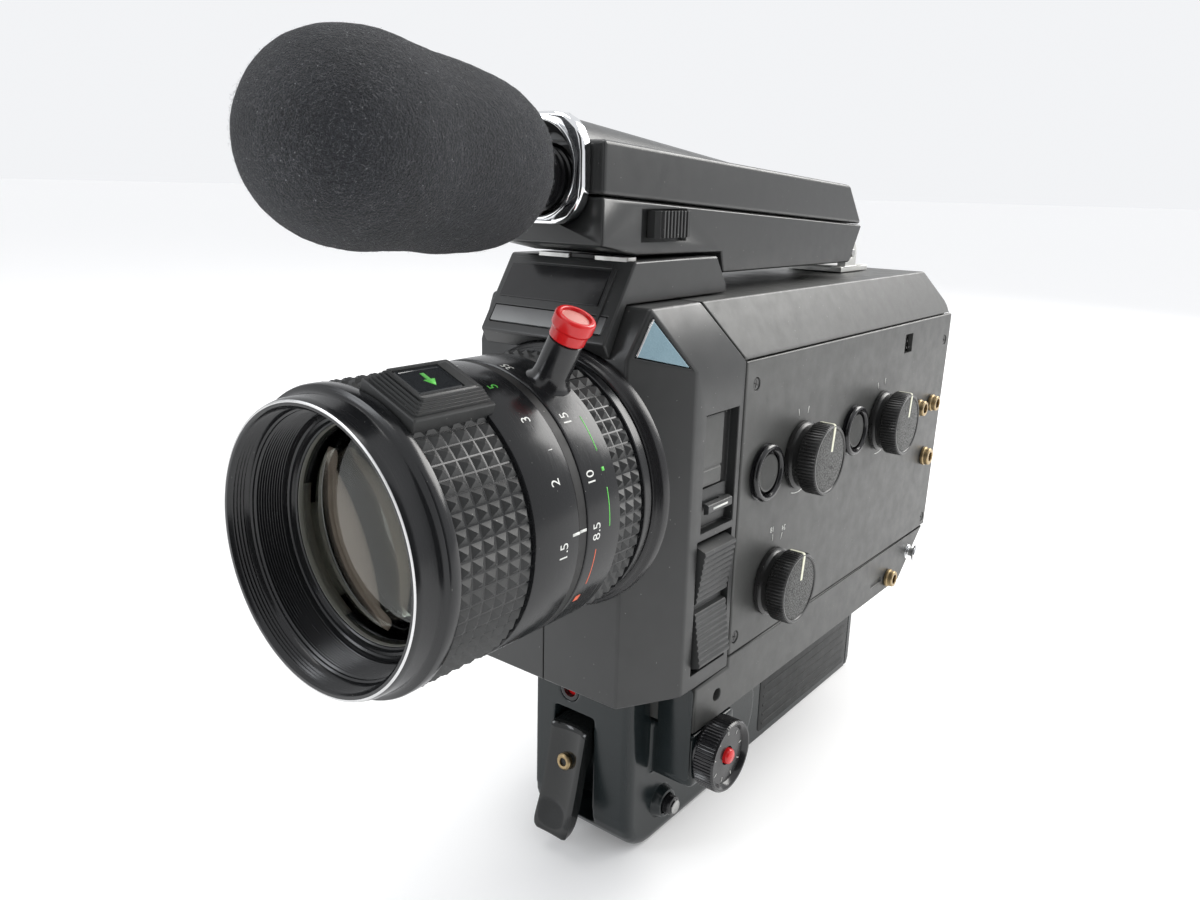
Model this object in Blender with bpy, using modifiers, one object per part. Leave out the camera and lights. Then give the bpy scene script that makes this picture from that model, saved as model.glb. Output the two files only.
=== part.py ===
"""Sound cine camera with a zoom lens, a microphone boom and a folding grip.

Lengths in this file are millimetres, and MM turns them into Blender's metres. +Z is up, the lens looks
along -Y, and +X is the side with the controls. The origin is on the underside of the grip head.
"""
import math

import bmesh
import bpy
from mathutils import Matrix, Vector

MM = 0.001
GAP = 0.3            # clearance between neighbouring pieces
ROUND_STEPS = 48     # facets round a large turned piece
SMALL_STEPS = 28     # facets round a knob, button or jack

# Body
BODY_HALF_WIDTH = 33.8
FRONT_HALF_WIDTH = 24.2
FRONT_Y = -49.0
CHAMFER_Y = -32.4
SEAM_Y = -8.0
DECK_SEAM_Y = -20.0
REAR_Y = 148.0
DECK_Z = 162.0
DECK_HALF_WIDTH = 26.0
SHOULDER_Z = 146.2
HOOD_BOTTOM_Z = 57.3
BODY_BOTTOM_Z = 42.5
MOULD_SEAM_X = -1.0
WALL = 2.8

# Lens
LENS_X = 4.0
LENS_Z = 118.0
LENS_FRONT_Y = -125.0
LENS_RADIUS = 33.2
BARREL_RADIUS = 26.9
BARREL_REAR_RADIUS = 22.5
DRIVE_RIM_RADIUS = 31.0
DRIVE_WHEEL_RADIUS = 3.6
LEVER_ANGLE = math.radians(63.3)
LEVER_Y = 54.0 + LENS_FRONT_Y
LOCK_ANGLE = math.radians(67.5)

# Boom and microphone
BOOM_X = -1.0
BOOM_HALF_WIDTH = 17.0
BOOM_TILT = math.radians(6.0)
BOOM_FRONT_Y = -49.0
MIC_Z = 191.0
MIC_RADIUS = 7.9
CHANNEL_RADIUS = 8.7
BEZEL_Z = 193.6
BOOM_PIVOT = (107.0, 169.0)

# Grip
GRIP_X = 0.0
HEAD_HALF_WIDTH = 19.5
TRIGGER_X = -1.0
HANDLE_HALF_WIDTH = 16.0
HANDLE_RADIUS = 19.75
HANDLE_PIVOT = (21.0, 19.75)
HANDLE_END_Y = 121.7
TRIGGER_PIVOT = (-29.5, 36.5)
DIAL_CENTRE = (-17.3, 35.5)

PARTS = None
CUTTERS = None

MATERIALS = {
    "black_paint": ((0.045, 0.047, 0.047), 0.45, 0.0),
    "satin_panel": ((0.075, 0.077, 0.075), 0.5, 0.0),
    "gloss_black": ((0.012, 0.012, 0.013), 0.2, 0.0),
    "lens_black": ((0.02, 0.02, 0.022), 0.35, 0.3),
    "grip_plastic": ((0.03, 0.036, 0.037), 0.4, 0.0),
    "rubber": ((0.02, 0.02, 0.02), 0.8, 0.0),
    "foam": ((0.02, 0.022, 0.026), 1.0, 0.0),
    "chrome": ((0.75, 0.76, 0.78), 0.12, 1.0),
    "steel": ((0.5, 0.5, 0.5), 0.35, 1.0),
    "brass": ((0.6, 0.42, 0.2), 0.35, 1.0),
    "aluminium": ((0.62, 0.62, 0.6), 0.45, 1.0),
    "red_plastic": ((0.62, 0.02, 0.02), 0.3, 0.0),
    "frosted_window": ((0.2, 0.34, 0.42), 0.4, 0.0),
    "smoked_window": ((0.3, 0.31, 0.31), 0.15, 0.0),
    "glass": ((0.6, 0.57, 0.52), 0.05, 0.0),
}


# ---------------------------------------------------------------- scene and objects

def clear_scene():
    """Empties the scene and makes the two collections."""
    global PARTS, CUTTERS
    for thing in list(bpy.data.objects):
        bpy.data.objects.remove(thing, do_unlink=True)
    PARTS = bpy.data.collections.new("cine_camera")
    CUTTERS = bpy.data.collections.new("cutters")
    bpy.context.scene.collection.children.link(PARTS)
    bpy.context.scene.collection.children.link(CUTTERS)


def material(name):
    """The named material, made on its first use."""
    if name in bpy.data.materials:
        return bpy.data.materials[name]
    colour, roughness, metallic = MATERIALS[name]
    made = bpy.data.materials.new(name)
    made.use_nodes = True
    shader = made.node_tree.nodes["Principled BSDF"]
    shader.inputs["Base Color"].default_value = (*colour, 1.0)
    shader.inputs["Roughness"].default_value = roughness
    shader.inputs["Metallic"].default_value = metallic
    return made


def add_mesh(name, mesh, look):
    """Links a mesh as a part, or as a cutter when it has no look."""
    thing = bpy.data.objects.new(name, mesh)
    if look is None:
        CUTTERS.objects.link(thing)
        thing.hide_render = True
        thing.display_type = "WIRE"
        return thing
    PARTS.objects.link(thing)
    own = material(look).copy()
    own.name = f"{name}_{look}"
    mesh.materials.append(own)
    return thing


def scaled(points):
    """Points in millimetres as vectors in metres."""
    return [Vector(point) * MM for point in points]


def finish_bmesh(name, shape, look):
    """Turns a bmesh with outward faces into an object."""
    bmesh.ops.recalc_face_normals(shape, faces=shape.faces)
    mesh = bpy.data.meshes.new(name)
    shape.to_mesh(mesh)
    shape.free()
    return add_mesh(name, mesh, look)


def smooth(thing, angle=35.0):
    """Smooth shading with sharp edges kept."""
    thing.data.shade_smooth()
    thing.data.set_sharp_from_angle(angle=math.radians(angle))
    return thing


# ---------------------------------------------------------------- basic shapes

def box(name, low, high, look=None):
    """An upright box between two corners."""
    shape = bmesh.new()
    bmesh.ops.create_cube(shape, size=1.0)
    size = [high[i] - low[i] for i in range(3)]
    middle = [(high[i] + low[i]) / 2 for i in range(3)]
    bmesh.ops.scale(shape, vec=Vector(size) * MM, verts=shape.verts)
    bmesh.ops.translate(shape, vec=Vector(middle) * MM, verts=shape.verts)
    return finish_bmesh(name, shape, look)


def cylinder(name, start, end, radius, look=None, end_radius=None, steps=SMALL_STEPS):
    """A closed cylinder or cone between two points."""
    first, last = scaled([start, end])
    axis = last - first
    shape = bmesh.new()
    bmesh.ops.create_cone(
        shape, cap_ends=True, segments=steps, radius1=radius * MM,
        radius2=(radius if end_radius is None else end_radius) * MM, depth=axis.length,
    )
    turn = axis.to_track_quat("Z", "Y").to_matrix().to_4x4()
    bmesh.ops.transform(shape, matrix=Matrix.Translation((first + last) / 2) @ turn, verts=shape.verts)
    return finish_bmesh(name, shape, look)


def hull(name, points, look=None):
    """The convex solid round a set of corner points."""
    shape = bmesh.new()
    for point in scaled(points):
        shape.verts.new(point)
    bmesh.ops.convex_hull(shape, input=shape.verts)
    loose = [vert for vert in shape.verts if not vert.link_faces]
    bmesh.ops.delete(shape, geom=loose, context="VERTS")
    bmesh.ops.dissolve_limit(shape, angle_limit=math.radians(0.5), verts=shape.verts, edges=shape.edges)
    return finish_bmesh(name, shape, look)


def outline_solid(name, outline, axis, near, far, look=None):
    """A flat outline with thickness: (Y, Z) points along X, (X, Z) along Y, or (X, Y) along Z."""
    curve = bpy.data.curves.new(name, "CURVE")
    curve.dimensions = "2D"
    curve.fill_mode = "BOTH"
    curve.extrude = (far - near) / 2 * MM
    curve.resolution_u = 1
    curve.render_resolution_u = 0
    line = curve.splines.new("POLY")
    line.points.add(len(outline) - 1)
    for corner, (u, v) in zip(line.points, outline):
        corner.co = (u * MM, v * MM, 0.0, 1.0)
    line.use_cyclic_u = True
    drawn = bpy.data.objects.new(name, curve)
    bpy.context.scene.collection.objects.link(drawn)
    turns = {
        "X": Matrix(((0, 0, 1), (1, 0, 0), (0, 1, 0))),
        "Y": Matrix(((1, 0, 0), (0, 0, -1), (0, 1, 0))),
        "Z": Matrix.Identity(3),
    }
    middle = Vector([(near + far) / 2 * MM if letter == axis else 0.0 for letter in "XYZ"])
    drawn.matrix_world = Matrix.Translation(middle) @ turns[axis].to_4x4()
    bpy.context.view_layer.update()
    graph = bpy.context.evaluated_depsgraph_get()
    mesh = bpy.data.meshes.new_from_object(drawn.evaluated_get(graph))
    mesh.transform(drawn.matrix_world)
    bpy.data.objects.remove(drawn, do_unlink=True)
    shape = bmesh.new()
    shape.from_mesh(mesh)
    bpy.data.meshes.remove(mesh)
    bmesh.ops.remove_doubles(shape, verts=shape.verts, dist=0.01 * MM)
    bmesh.ops.dissolve_limit(shape, angle_limit=math.radians(0.5), verts=shape.verts, edges=shape.edges)
    return finish_bmesh(name, shape, look)


def turned(name, profile, base, direction, look=None, steps=SMALL_STEPS):
    """A turned piece: (radius, height) points down the outer side from the far end, then up any bore.

    A profile that starts and ends on the axis is solid, and any other closes into a ring.
    """
    mesh = bpy.data.meshes.new(name)
    corners = [(radius * MM, 0.0, height * MM) for radius, height in profile]
    edges = [(i, i + 1) for i in range(len(corners) - 1)]
    if profile[0][0] > 0.0:
        edges.append((len(corners) - 1, 0))
    mesh.from_pydata(corners, edges, [])
    thing = add_mesh(name, mesh, look)
    turn = Vector(direction).to_track_quat("Z", "Y").to_matrix().to_4x4()
    thing.matrix_world = Matrix.Translation(Vector(base) * MM) @ turn
    screw = thing.modifiers.new("turn", "SCREW")
    screw.axis = "Z"
    screw.angle = math.tau
    screw.steps = steps
    screw.render_steps = steps
    screw.use_merge_vertices = True
    screw.merge_threshold = 0.01 * MM
    screw.use_smooth_shade = True
    return thing


def bevel(thing, width, segments=2, angle=30.0):
    """Rounds the sharp edges."""
    rounding = thing.modifiers.new("bevel", "BEVEL")
    rounding.width = width * MM
    rounding.segments = segments
    rounding.limit_method = "ANGLE"
    rounding.angle_limit = math.radians(angle)
    rounding.use_clamp_overlap = True
    return thing


def combine(thing, others, operation):
    """Cuts others away from a piece, or joins them to it."""
    for other in others:
        step = thing.modifiers.new(operation.lower(), "BOOLEAN")
        step.operation = operation
        step.solver = "EXACT"
        step.object = other
    return thing


def cut(thing, *others):
    """Cuts shapes away from a piece."""
    return combine(thing, others, "DIFFERENCE")


def join(thing, *others):
    """Joins shapes to a piece."""
    return combine(thing, others, "UNION")


def pivot(name, position, pieces):
    """Parents the pieces of one moving body to an empty on its axis."""
    empty = bpy.data.objects.new(name, None)
    empty.location = Vector(position) * MM
    PARTS.objects.link(empty)
    for piece in pieces:
        piece.parent = empty
        piece.matrix_parent_inverse = Matrix.Translation(-Vector(position) * MM)


def arc(centre, radius, start, end, count):
    """Points on a circle in an outline's plane, with angles in degrees."""
    points = []
    for i in range(count + 1):
        angle = math.radians(start + (end - start) * i / count)
        points.append((centre[0] + radius * math.cos(angle), centre[1] + radius * math.sin(angle)))
    return points


def rounded_rectangle(low, high, radius, count=4):
    """The outline of a rectangle with round corners."""
    (left, bottom), (right, top) = low, high
    corners = [
        ((right - radius, top - radius), 0), ((left + radius, top - radius), 90),
        ((left + radius, bottom + radius), 180), ((right - radius, bottom + radius), 270),
    ]
    points = []
    for centre, start in corners:
        points += arc(centre, radius, start, start + 90, count)
    return points


# ---------------------------------------------------------------- casings

def hood_corners(inset=0.0, rear=SEAM_Y - GAP / 2):
    """Corner points of the front housing, or of the space inside it when inset."""
    front = FRONT_Y + inset
    side = BODY_HALF_WIDTH - inset * 1.7
    nose = FRONT_HALF_WIDTH - inset * 1.2
    deck = DECK_HALF_WIDTH - inset * 1.4
    slant = DECK_SEAM_Y - SEAM_Y if inset == 0.0 else 0.0
    points = []
    for hand in (-1, 1):
        for height in (HOOD_BOTTOM_Z + inset,):
            points.append((hand * nose, front, height))
            points.append((hand * side, CHAMFER_Y + inset, height))
            points.append((hand * side, rear, height))
        points.append((hand * nose, front, 150.0 - inset))
        points.append((hand * side, CHAMFER_Y + inset, SHOULDER_Z - inset))
        points.append((hand * side, rear, SHOULDER_Z - inset))
        points.append((hand * deck, FRONT_Y + 6.5 + inset, DECK_Z - inset))
        points.append((hand * deck, rear + slant, DECK_Z - inset))
    return points


def corner_window_points():
    """The three corners of the facet at the hood's upper left corner."""
    lower = Vector((FRONT_HALF_WIDTH, FRONT_Y, 150.0))
    outer = Vector((BODY_HALF_WIDTH, CHAMFER_Y, SHOULDER_Z))
    upper = Vector((DECK_HALF_WIDTH, FRONT_Y + 6.5, DECK_Z))
    return lower, outer, upper


def corner_plate(name, inset, depth, proud, look=None):
    """A triangular plate set into the hood's corner facet."""
    corners = corner_window_points()
    middle = sum(corners, Vector()) / 3
    outward = (corners[1] - corners[0]).cross(corners[2] - corners[0]).normalized()
    points = []
    for corner in corners:
        towards = (corner - middle).normalized()
        edge = corner - towards * inset
        points += [edge + outward * proud, edge - outward * depth]
    return hull(name, points, look)


def front_housings():
    """The hood's two moulded halves, with the switch recesses in the left one."""
    space = hull("hood_space", hood_corners(WALL, rear=SEAM_Y + 5.0))
    lens_hole = cylinder("hood_lens_hole", (LENS_X, FRONT_Y - 5, LENS_Z), (LENS_X, FRONT_Y + 6, LENS_Z), 18.0)
    shaft_z = LENS_Z - (DRIVE_RIM_RADIUS - GAP - DRIVE_WHEEL_RADIUS)
    shaft_hole = cylinder("hood_shaft_hole", (LENS_X, FRONT_Y - 5, shaft_z), (LENS_X, FRONT_Y + 6, shaft_z), 1.6,
                          steps=16)
    wide = BODY_HALF_WIDTH + 10
    left_side = box("hood_left_side", (MOULD_SEAM_X - GAP / 2, -90, 40), (wide, 20, 180))
    right_side = box("hood_right_side", (-wide, -90, 40), (MOULD_SEAM_X + GAP / 2, 20, 180))
    speed_recess = box("speed_recess", (31.0, -27.0, 102.6), (36.0, -10.8, 134.5))
    rocker_recess = box("rocker_recess", (29.8, -28.3, 62.0), (36.0, -10.8, 100.6))
    window_pocket = corner_plate("window_pocket", 2.2, 1.2, 1.0)
    left = hull("front_housing_left", hood_corners(), "black_paint")
    bevel(left, 0.7)
    cut(left, space, lens_hole, shaft_hole, right_side, speed_recess, rocker_recess, window_pocket)
    right = hull("front_housing_right", hood_corners(), "black_paint")
    bevel(right, 0.7)
    cut(right, space, lens_hole, shaft_hole, left_side)
    corner_plate("corner_window", 2.7, 0.9, 0.15, "frosted_window")


def main_body():
    """The body casing, with the film chamber open on its right side."""
    front = SEAM_Y + GAP / 2
    outline = [
        (DECK_SEAM_Y + GAP / 2, DECK_Z), (front, SHOULDER_Z), (front, HOOD_BOTTOM_Z - GAP),
        (-25.0, HOOD_BOTTOM_Z - GAP), (-25.0, BODY_BOTTOM_Z), (124.0, BODY_BOTTOM_Z), (144.0, 59.0),
        (REAR_Y, 63.0), (REAR_Y, 150.5), (137.0, DECK_Z),
    ]
    body = outline_solid("main_body", outline, "X", -BODY_HALF_WIDTH, BODY_HALF_WIDTH, "black_paint")
    bevel(body, 0.6, segments=1)
    shoulder = [
        (DECK_HALF_WIDTH, DECK_Z), (BODY_HALF_WIDTH, SHOULDER_Z), (40.0, SHOULDER_Z), (40.0, 170.0),
        (DECK_HALF_WIDTH, 170.0),
    ]
    mirrored = [(-x, z) for x, z in reversed(shoulder)]
    cut(
        body,
        outline_solid("left_shoulder", shoulder, "Y", -60, 200),
        outline_solid("right_shoulder", mirrored, "Y", -60, 200),
        box("panel_recess", (31.7, -20, 60.0), (40, 160, 146.5)),
        box("film_chamber", (-40, 3, 61), (17, 120, 140)),
        box("gear_compartment", (19, -30, 61), (29.5, 120, 140)),
        box("door_recess", (-40, 0, 58), (-31.0, 124, 144)),
        box("latch_recess", (-40, 125.5, 94), (-32.3, 142, 110)),
        cylinder("gate_hole", (LENS_X, -30, LENS_Z), (LENS_X, 10, LENS_Z), 6.0, steps=20),
        cylinder("eyepiece_bore", (-6, 124, 132), (-6, 160, 132), 12.3, steps=36),
        cylinder("base_hole", (30.5, -13.2, 50.3), (40, -13.2, 50.3), 1.9, steps=16),
        box("base_slot", (33.0, 96.0, 47.6), (40, 106.0, 49.8)),
    )
    return body


def side_panel():
    """The control plate on the left side."""
    outline = [(SEAM_Y + GAP, 60.3), (146.6, 60.3), (150.8, 137.0), (150.8, 146.0), (SEAM_Y + GAP, 146.0)]
    panel = outline_solid("side_panel", outline, "X", 32.0, BODY_HALF_WIDTH, "satin_panel")
    bevel(panel, 0.35, segments=1)
    holes = [box("square_socket", (31, 104.6, 135.3), (40, 111.4, 142.0))]
    for name, (y, z), radius in (
        ("lock_hole", (5.5, 112.7), 6.2), ("fade_hole", (64.8, 114.4), 6.2),
    ):
        holes.append(cylinder(name, (30, y, z), (40, y, z), radius))
    for i, (y, z) in enumerate(((-2.1, 139.2), (-4.9, 65.3), (145.6, 136.0), (143.0, 64.2))):
        holes.append(cylinder(f"screw_sink_{i}", (33.2, y, z), (40, y, z), 1.9, steps=16))
    cut(panel, *holes)


def rear_cover():
    """The plate that closes the rear of the body."""
    outline = rounded_rectangle((-31.0, 63.5), (31.0, 148.5), 3.0)
    cover = outline_solid("rear_cover", outline, "Y", REAR_Y + GAP, REAR_Y + 2.8, "black_paint")
    bevel(cover, 0.5, segments=1)
    cut(cover, cylinder("cover_bore", (-6, 140, 132), (-6, 160, 132), 12.3, steps=36))


def nameplate_block():
    """The block on the hood that carries the boom, with its strip window."""
    nose = Vector((-52.0, 153.4))
    top = Vector((-40.0, 172.5))
    along = (top - nose).normalized()
    outward = Vector((-along.y, along.x))
    outline = [
        tuple(nose), (FRONT_Y - 0.6, 149.4), (FRONT_Y + 5.9, DECK_Z + GAP), (3.0, DECK_Z + GAP), (3.0, 164.6),
        (-2.4, 172.4), tuple(top),
    ]
    left, right = MOULD_SEAM_X - 20.5, MOULD_SEAM_X + 20.5
    block = outline_solid("nameplate_block", outline, "X", left, right, "black_paint")
    bevel(block, 0.6)

    def strip(name, inset, depth, proud, look=None):
        low = nose + along * (2.4 + inset)
        high = nose + along * (7.4 - inset)
        corners = [low + outward * proud, high + outward * proud, high - outward * depth, low - outward * depth]
        return outline_solid(name, [tuple(c) for c in corners], "X", left + 2.0 + inset, right - 2.0 - inset, look)

    collar_space = cylinder("collar_space", (LENS_X, -70, LENS_Z), (LENS_X, -40, LENS_Z), 34.8, steps=ROUND_STEPS)
    cut(block, strip("strip_pocket", 0.0, 1.2, 2.0), collar_space)
    strip("strip_window", GAP, 0.9, 0.1, "smoked_window")


def film_door():
    """The hinged door over the film chamber, with its window and latch."""
    door = box("film_door", (-BODY_HALF_WIDTH, 0.4, 58.4), (-31.3, 123.6, 143.6), "satin_panel")
    bevel(door, 0.6)
    cut(door, box("window_hole", (-40, 50, 95), (-30, 66, 115)))
    window = box("film_window", (-33.6, 50.3, 95.3), (-31.5, 65.7, 114.7), "smoked_window")
    pivot("door_axis", (-BODY_HALF_WIDTH, 0.2, 101), [door, window])
    latch = box("door_latch", (-35.6, 126.2, 94.5), (-32.6, 136.5, 109.5), "gloss_black")
    bevel(latch, 0.5)
    pivot("latch_axis", (-34, 131, 102), [latch])


# ---------------------------------------------------------------- lens

def on_lens(name, profile, look, steps=ROUND_STEPS):
    """A turned piece on the lens axis, with heights measured back from the front rim."""
    return turned(name, profile, (LENS_X, LENS_FRONT_Y, LENS_Z), (0, 1, 0), look, steps)


def spherical_face(edge_radius, edge_height, apex_height, count=4):
    """Points from a lens surface's edge to its apex on the axis."""
    sag = edge_height - apex_height
    radius = (edge_radius ** 2 + sag ** 2) / (2 * sag)
    points = []
    for i in range(1, count + 1):
        distance = edge_radius * (1 - i / count)
        drop = abs(radius) - math.sqrt(radius ** 2 - distance ** 2)
        points.append((distance, apex_height + math.copysign(drop, radius)))
    return points


def radial_point(angle, radius, y):
    """A point at an angle and radius round the lens axis."""
    return (LENS_X + radius * math.cos(angle), y, LENS_Z + radius * math.sin(angle))


def lens_fixed_parts():
    """The barrel, its collar on the body and the rear group."""
    on_lens("lens_barrel", [
        (BARREL_REAR_RADIUS, 75.4), (BARREL_REAR_RADIUS, 59.5), (BARREL_RADIUS, 59.5), (BARREL_RADIUS, 22.0),
        (24.6, 22.0), (24.6, 57.0), (20.5, 57.0), (20.5, 75.4),
    ], "lens_black")
    collar = on_lens("lens_collar", [
        (34.4, 75.7), (34.4, 72.2), (33.6, 71.4), (BARREL_REAR_RADIUS + GAP, 71.4), (BARREL_REAR_RADIUS + GAP, 75.7),
    ], "lens_black")
    shaft_z = LENS_Z - (DRIVE_RIM_RADIUS - GAP - DRIVE_WHEEL_RADIUS)
    cut(collar, cylinder("collar_shaft_hole", (LENS_X, -60, shaft_z), (LENS_X, -40, shaft_z), 1.6, steps=16))
    on_lens("rear_lens_group", [(17.0, 109.0), (17.0, 76.8), (14.0, 76.8), (14.0, 109.0)], "lens_black", 36)


def focus_group():
    """The focus ring with its front cell, glass and the distance lock on top."""
    ring = on_lens("focus_ring", [
        (33.0, 43.7), (LENS_RADIUS, 43.3), (LENS_RADIUS, 6.6), (32.6, 6.2), (31.5, 5.6), (31.3, 1.4), (30.9, 0.2),
        (30.4, 0.0), (29.5, 0.2), (28.9, 4.8), (28.0, 5.2), (27.5, 12.5), (27.3, 12.9), (27.3, 43.7),
    ], "lens_black")
    cell = on_lens("front_lens_cell", [
        (27.0, 21.6), (27.0, 13.0), (25.6, 13.0), (22.7, 15.4), (22.7, 16.6), (24.4, 17.0), (24.4, 21.6),
    ], "lens_black")
    glass_profile = [(0.0, 20.4), (24.0, 20.4), (24.0, 17.4), (22.3, 16.6)]
    glass = on_lens("front_element", glass_profile + spherical_face(22.3, 16.6, 11.6), "glass")

    centre = Vector(radial_point(LOCK_ANGLE, 0.0, 0.0))
    outward = Vector((math.cos(LOCK_ANGLE), 0.0, math.sin(LOCK_ANGLE)))
    across = Vector((math.sin(LOCK_ANGLE), 0.0, -math.cos(LOCK_ANGLE)))

    def block_points(half_width, front, rear, low, high, shrink=0.0):
        points = []
        for level, less in ((low, 0.0), (high, shrink)):
            for y in (front + less, rear - less):
                for hand in (-1, 1):
                    flat = centre + outward * level + across * hand * (half_width - less)
                    points.append((flat.x, LENS_FRONT_Y + y, flat.z))
        return points

    housing = hull("focus_lock_housing", block_points(8.2, 9.6, 31.4, 28.0, 35.2, 0.5), "gloss_black")
    top = hull("lock_housing_top", block_points(6.9, 10.8, 29.4, 30.0, 37.6, 1.3))
    join(housing, top)
    ring_space = cylinder("lock_ring_space", (LENS_X, LENS_FRONT_Y - 10, LENS_Z), (LENS_X, LENS_FRONT_Y + 60, LENS_Z),
                          LENS_RADIUS + GAP, steps=96)
    pocket = hull("lock_pocket", block_points(4.4, 12.8, 25.2, 34.8, 42.0))
    cut(housing, ring_space, pocket)
    button = hull("focus_lock_button", block_points(4.1, 13.1, 24.9, 36.2, 37.9), "gloss_black")
    bevel(button, 0.3, segments=1)
    pivot("focus_axis", (LENS_X, LENS_FRONT_Y, LENS_Z), [ring, cell, glass, housing, button])


def zoom_group():
    """The zoom ring, its lever, and the wheel that drives it."""
    ring = on_lens("zoom_ring", [
        (32.5, 70.8), (32.5, 68.0), (LENS_RADIUS, 67.6), (LENS_RADIUS, 46.9), (32.8, 46.5), (27.3, 46.5),
        (27.3, 60.0), (DRIVE_RIM_RADIUS, 60.0), (DRIVE_RIM_RADIUS, 70.8),
    ], "lens_black")
    lever = cylinder("zoom_lever", radial_point(LEVER_ANGLE, LENS_RADIUS + GAP, LEVER_Y),
                     radial_point(LEVER_ANGLE, 44.0, LEVER_Y), 4.3, "gloss_black", 4.0)
    direction = (math.cos(LEVER_ANGLE), 0.0, math.sin(LEVER_ANGLE))
    cap = turned("zoom_lever_cap", [
        (0.0, 5.9), (3.6, 5.9), (3.8, 6.5), (4.5, 6.5), (4.8, 6.1), (4.8, 3.0), (4.3, 2.6), (4.2, GAP), (0.0, GAP),
    ], radial_point(LEVER_ANGLE, 44.0, LEVER_Y), direction, "red_plastic")
    pivot("zoom_axis", (LENS_X, LENS_FRONT_Y, LENS_Z), [ring, lever, cap])
    shaft_z = LENS_Z - (DRIVE_RIM_RADIUS - GAP - DRIVE_WHEEL_RADIUS)
    wheel = turned("zoom_drive_wheel", [
        (0.0, 18.6), (1.2, 18.6), (1.2, 7.0), (DRIVE_WHEEL_RADIUS, 7.0), (DRIVE_WHEEL_RADIUS, 0.0), (0.0, 0.0),
    ], (LENS_X, -64.5, shaft_z), (0, 1, 0), "brass", 24)
    pivot("wheel_axis", (LENS_X, -64.5, shaft_z), [wheel])
    cylinder("zoom_motor", (LENS_X, -45.4, shaft_z), (LENS_X, -20.0, shaft_z), 7.5, "steel")


# ---------------------------------------------------------------- inside the body

def film_parts():
    """Gate, shutter, spindle and drive motor."""
    gate = box("film_gate", (-6, 3.3, 106), (14, 5.0, 130), "steel")
    cut(gate, box("gate_aperture", (LENS_X - 2.9, 0, LENS_Z - 2.1), (LENS_X + 2.9, 8, LENS_Z + 2.1)))
    shutter_centre = (LENS_X, 98.0)
    blade = arc(shutter_centre, 22.5, -20, 200, 22) + arc(shutter_centre, 6.0, 200, 340, 10)
    shutter = outline_solid("shutter_disc", blade, "Y", -12.4, -11.6, "lens_black")
    join(shutter, cylinder("shutter_hub", (LENS_X, -14.5, shutter_centre[1]), (LENS_X, SEAM_Y - 0.2, shutter_centre[1]), 3.0,
                           steps=20))
    pivot("shutter_axis", (LENS_X, -12.0, shutter_centre[1]), [shutter])
    spindle = turned("take_up_spindle", [
        (0.0, 12.0), (3.0, 12.0), (4.0, 10.5), (4.0, 3.0), (7.5, 3.0), (7.5, 0.0), (0.0, 0.0),
    ], (16.7, 60.0, 100.0), (-1, 0, 0), "gloss_black")
    pivot("spindle_axis", (16.7, 60.0, 100.0), [spindle])
    cylinder("drive_motor", (-13.5, -42.0, 71.0), (-13.5, -15.0, 71.0), 8.0, "steel")


def viewfinder():
    """Eyepiece tube, closed by its eye lens, focusing ring and rubber eyecup."""
    base = (-6.0, 0.0, 132.0)
    turned("eyepiece_tube", [(12.0, 160.0), (12.0, 124.3), (0.0, 124.3), (0.0, 154.6), (9.4, 154.0), (9.4, 160.0)],
           base, (0, 1, 0), "gloss_black", 36)
    ring = turned("eyepiece_ring", [
        (15.0, 161.0), (15.6, 160.4), (15.6, 152.6), (15.0, 152.0), (12.3, 152.0), (12.3, 161.0),
    ], base, (0, 1, 0), "gloss_black", 36)
    cup = turned("eyecup", [
        (17.6, 176.0), (19.0, 175.0), (18.6, 172.0), (16.0, 168.0), (15.4, 161.3), (11.5, 161.3), (12.5, 168.0),
        (16.6, 174.0),
    ], base, (0, 1, 0), "rubber", 36)
    pivot("eyepiece_axis", base, [ring, cup])


# ---------------------------------------------------------------- side controls

def knob(name, y, z):
    """A selector knob on the side panel."""
    piece = turned(name, [
        (0.0, 9.7), (9.9, 9.7), (10.8, 9.2), (10.8, 4.0), (9.6, 3.4), (9.6, 1.6), (10.4, 1.2), (10.4, 0.0), (0.0, 0.0),
    ], (BODY_HALF_WIDTH + GAP, y, z), (1, 0, 0), "gloss_black")
    pivot(f"{name}_axis", (BODY_HALF_WIDTH, y, z), [piece])


def push_button(name, y, z):
    """A round push button in a raised ring."""
    turned(f"{name}_bezel", [
        (7.6, 2.2), (8.4, 1.4), (8.4, 0.0), (6.2, 0.0), (6.2, 2.2),
    ], (BODY_HALF_WIDTH + GAP, y, z), (1, 0, 0), "gloss_black")
    button = turned(f"{name}_button", [
        (0.0, 2.3), (4.8, 2.3), (5.6, 1.7), (5.6, 0.0), (0.0, 0.0),
    ], (BODY_HALF_WIDTH - 0.6, y, z), (1, 0, 0), "satin_panel")
    pivot(f"{name}_axis", (BODY_HALF_WIDTH, y, z), [button])


def jack(name, y, z, radius=3.2):
    """A brass jack socket on the left side."""
    turned(name, [
        (radius - 0.5, 2.9), (radius, 2.4), (radius, 0.0), (0.0, 0.0), (0.0, 0.6), (1.75, 0.6), (1.75, 2.9),
    ], (BODY_HALF_WIDTH + GAP, y, z), (1, 0, 0), "brass", 24)


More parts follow.
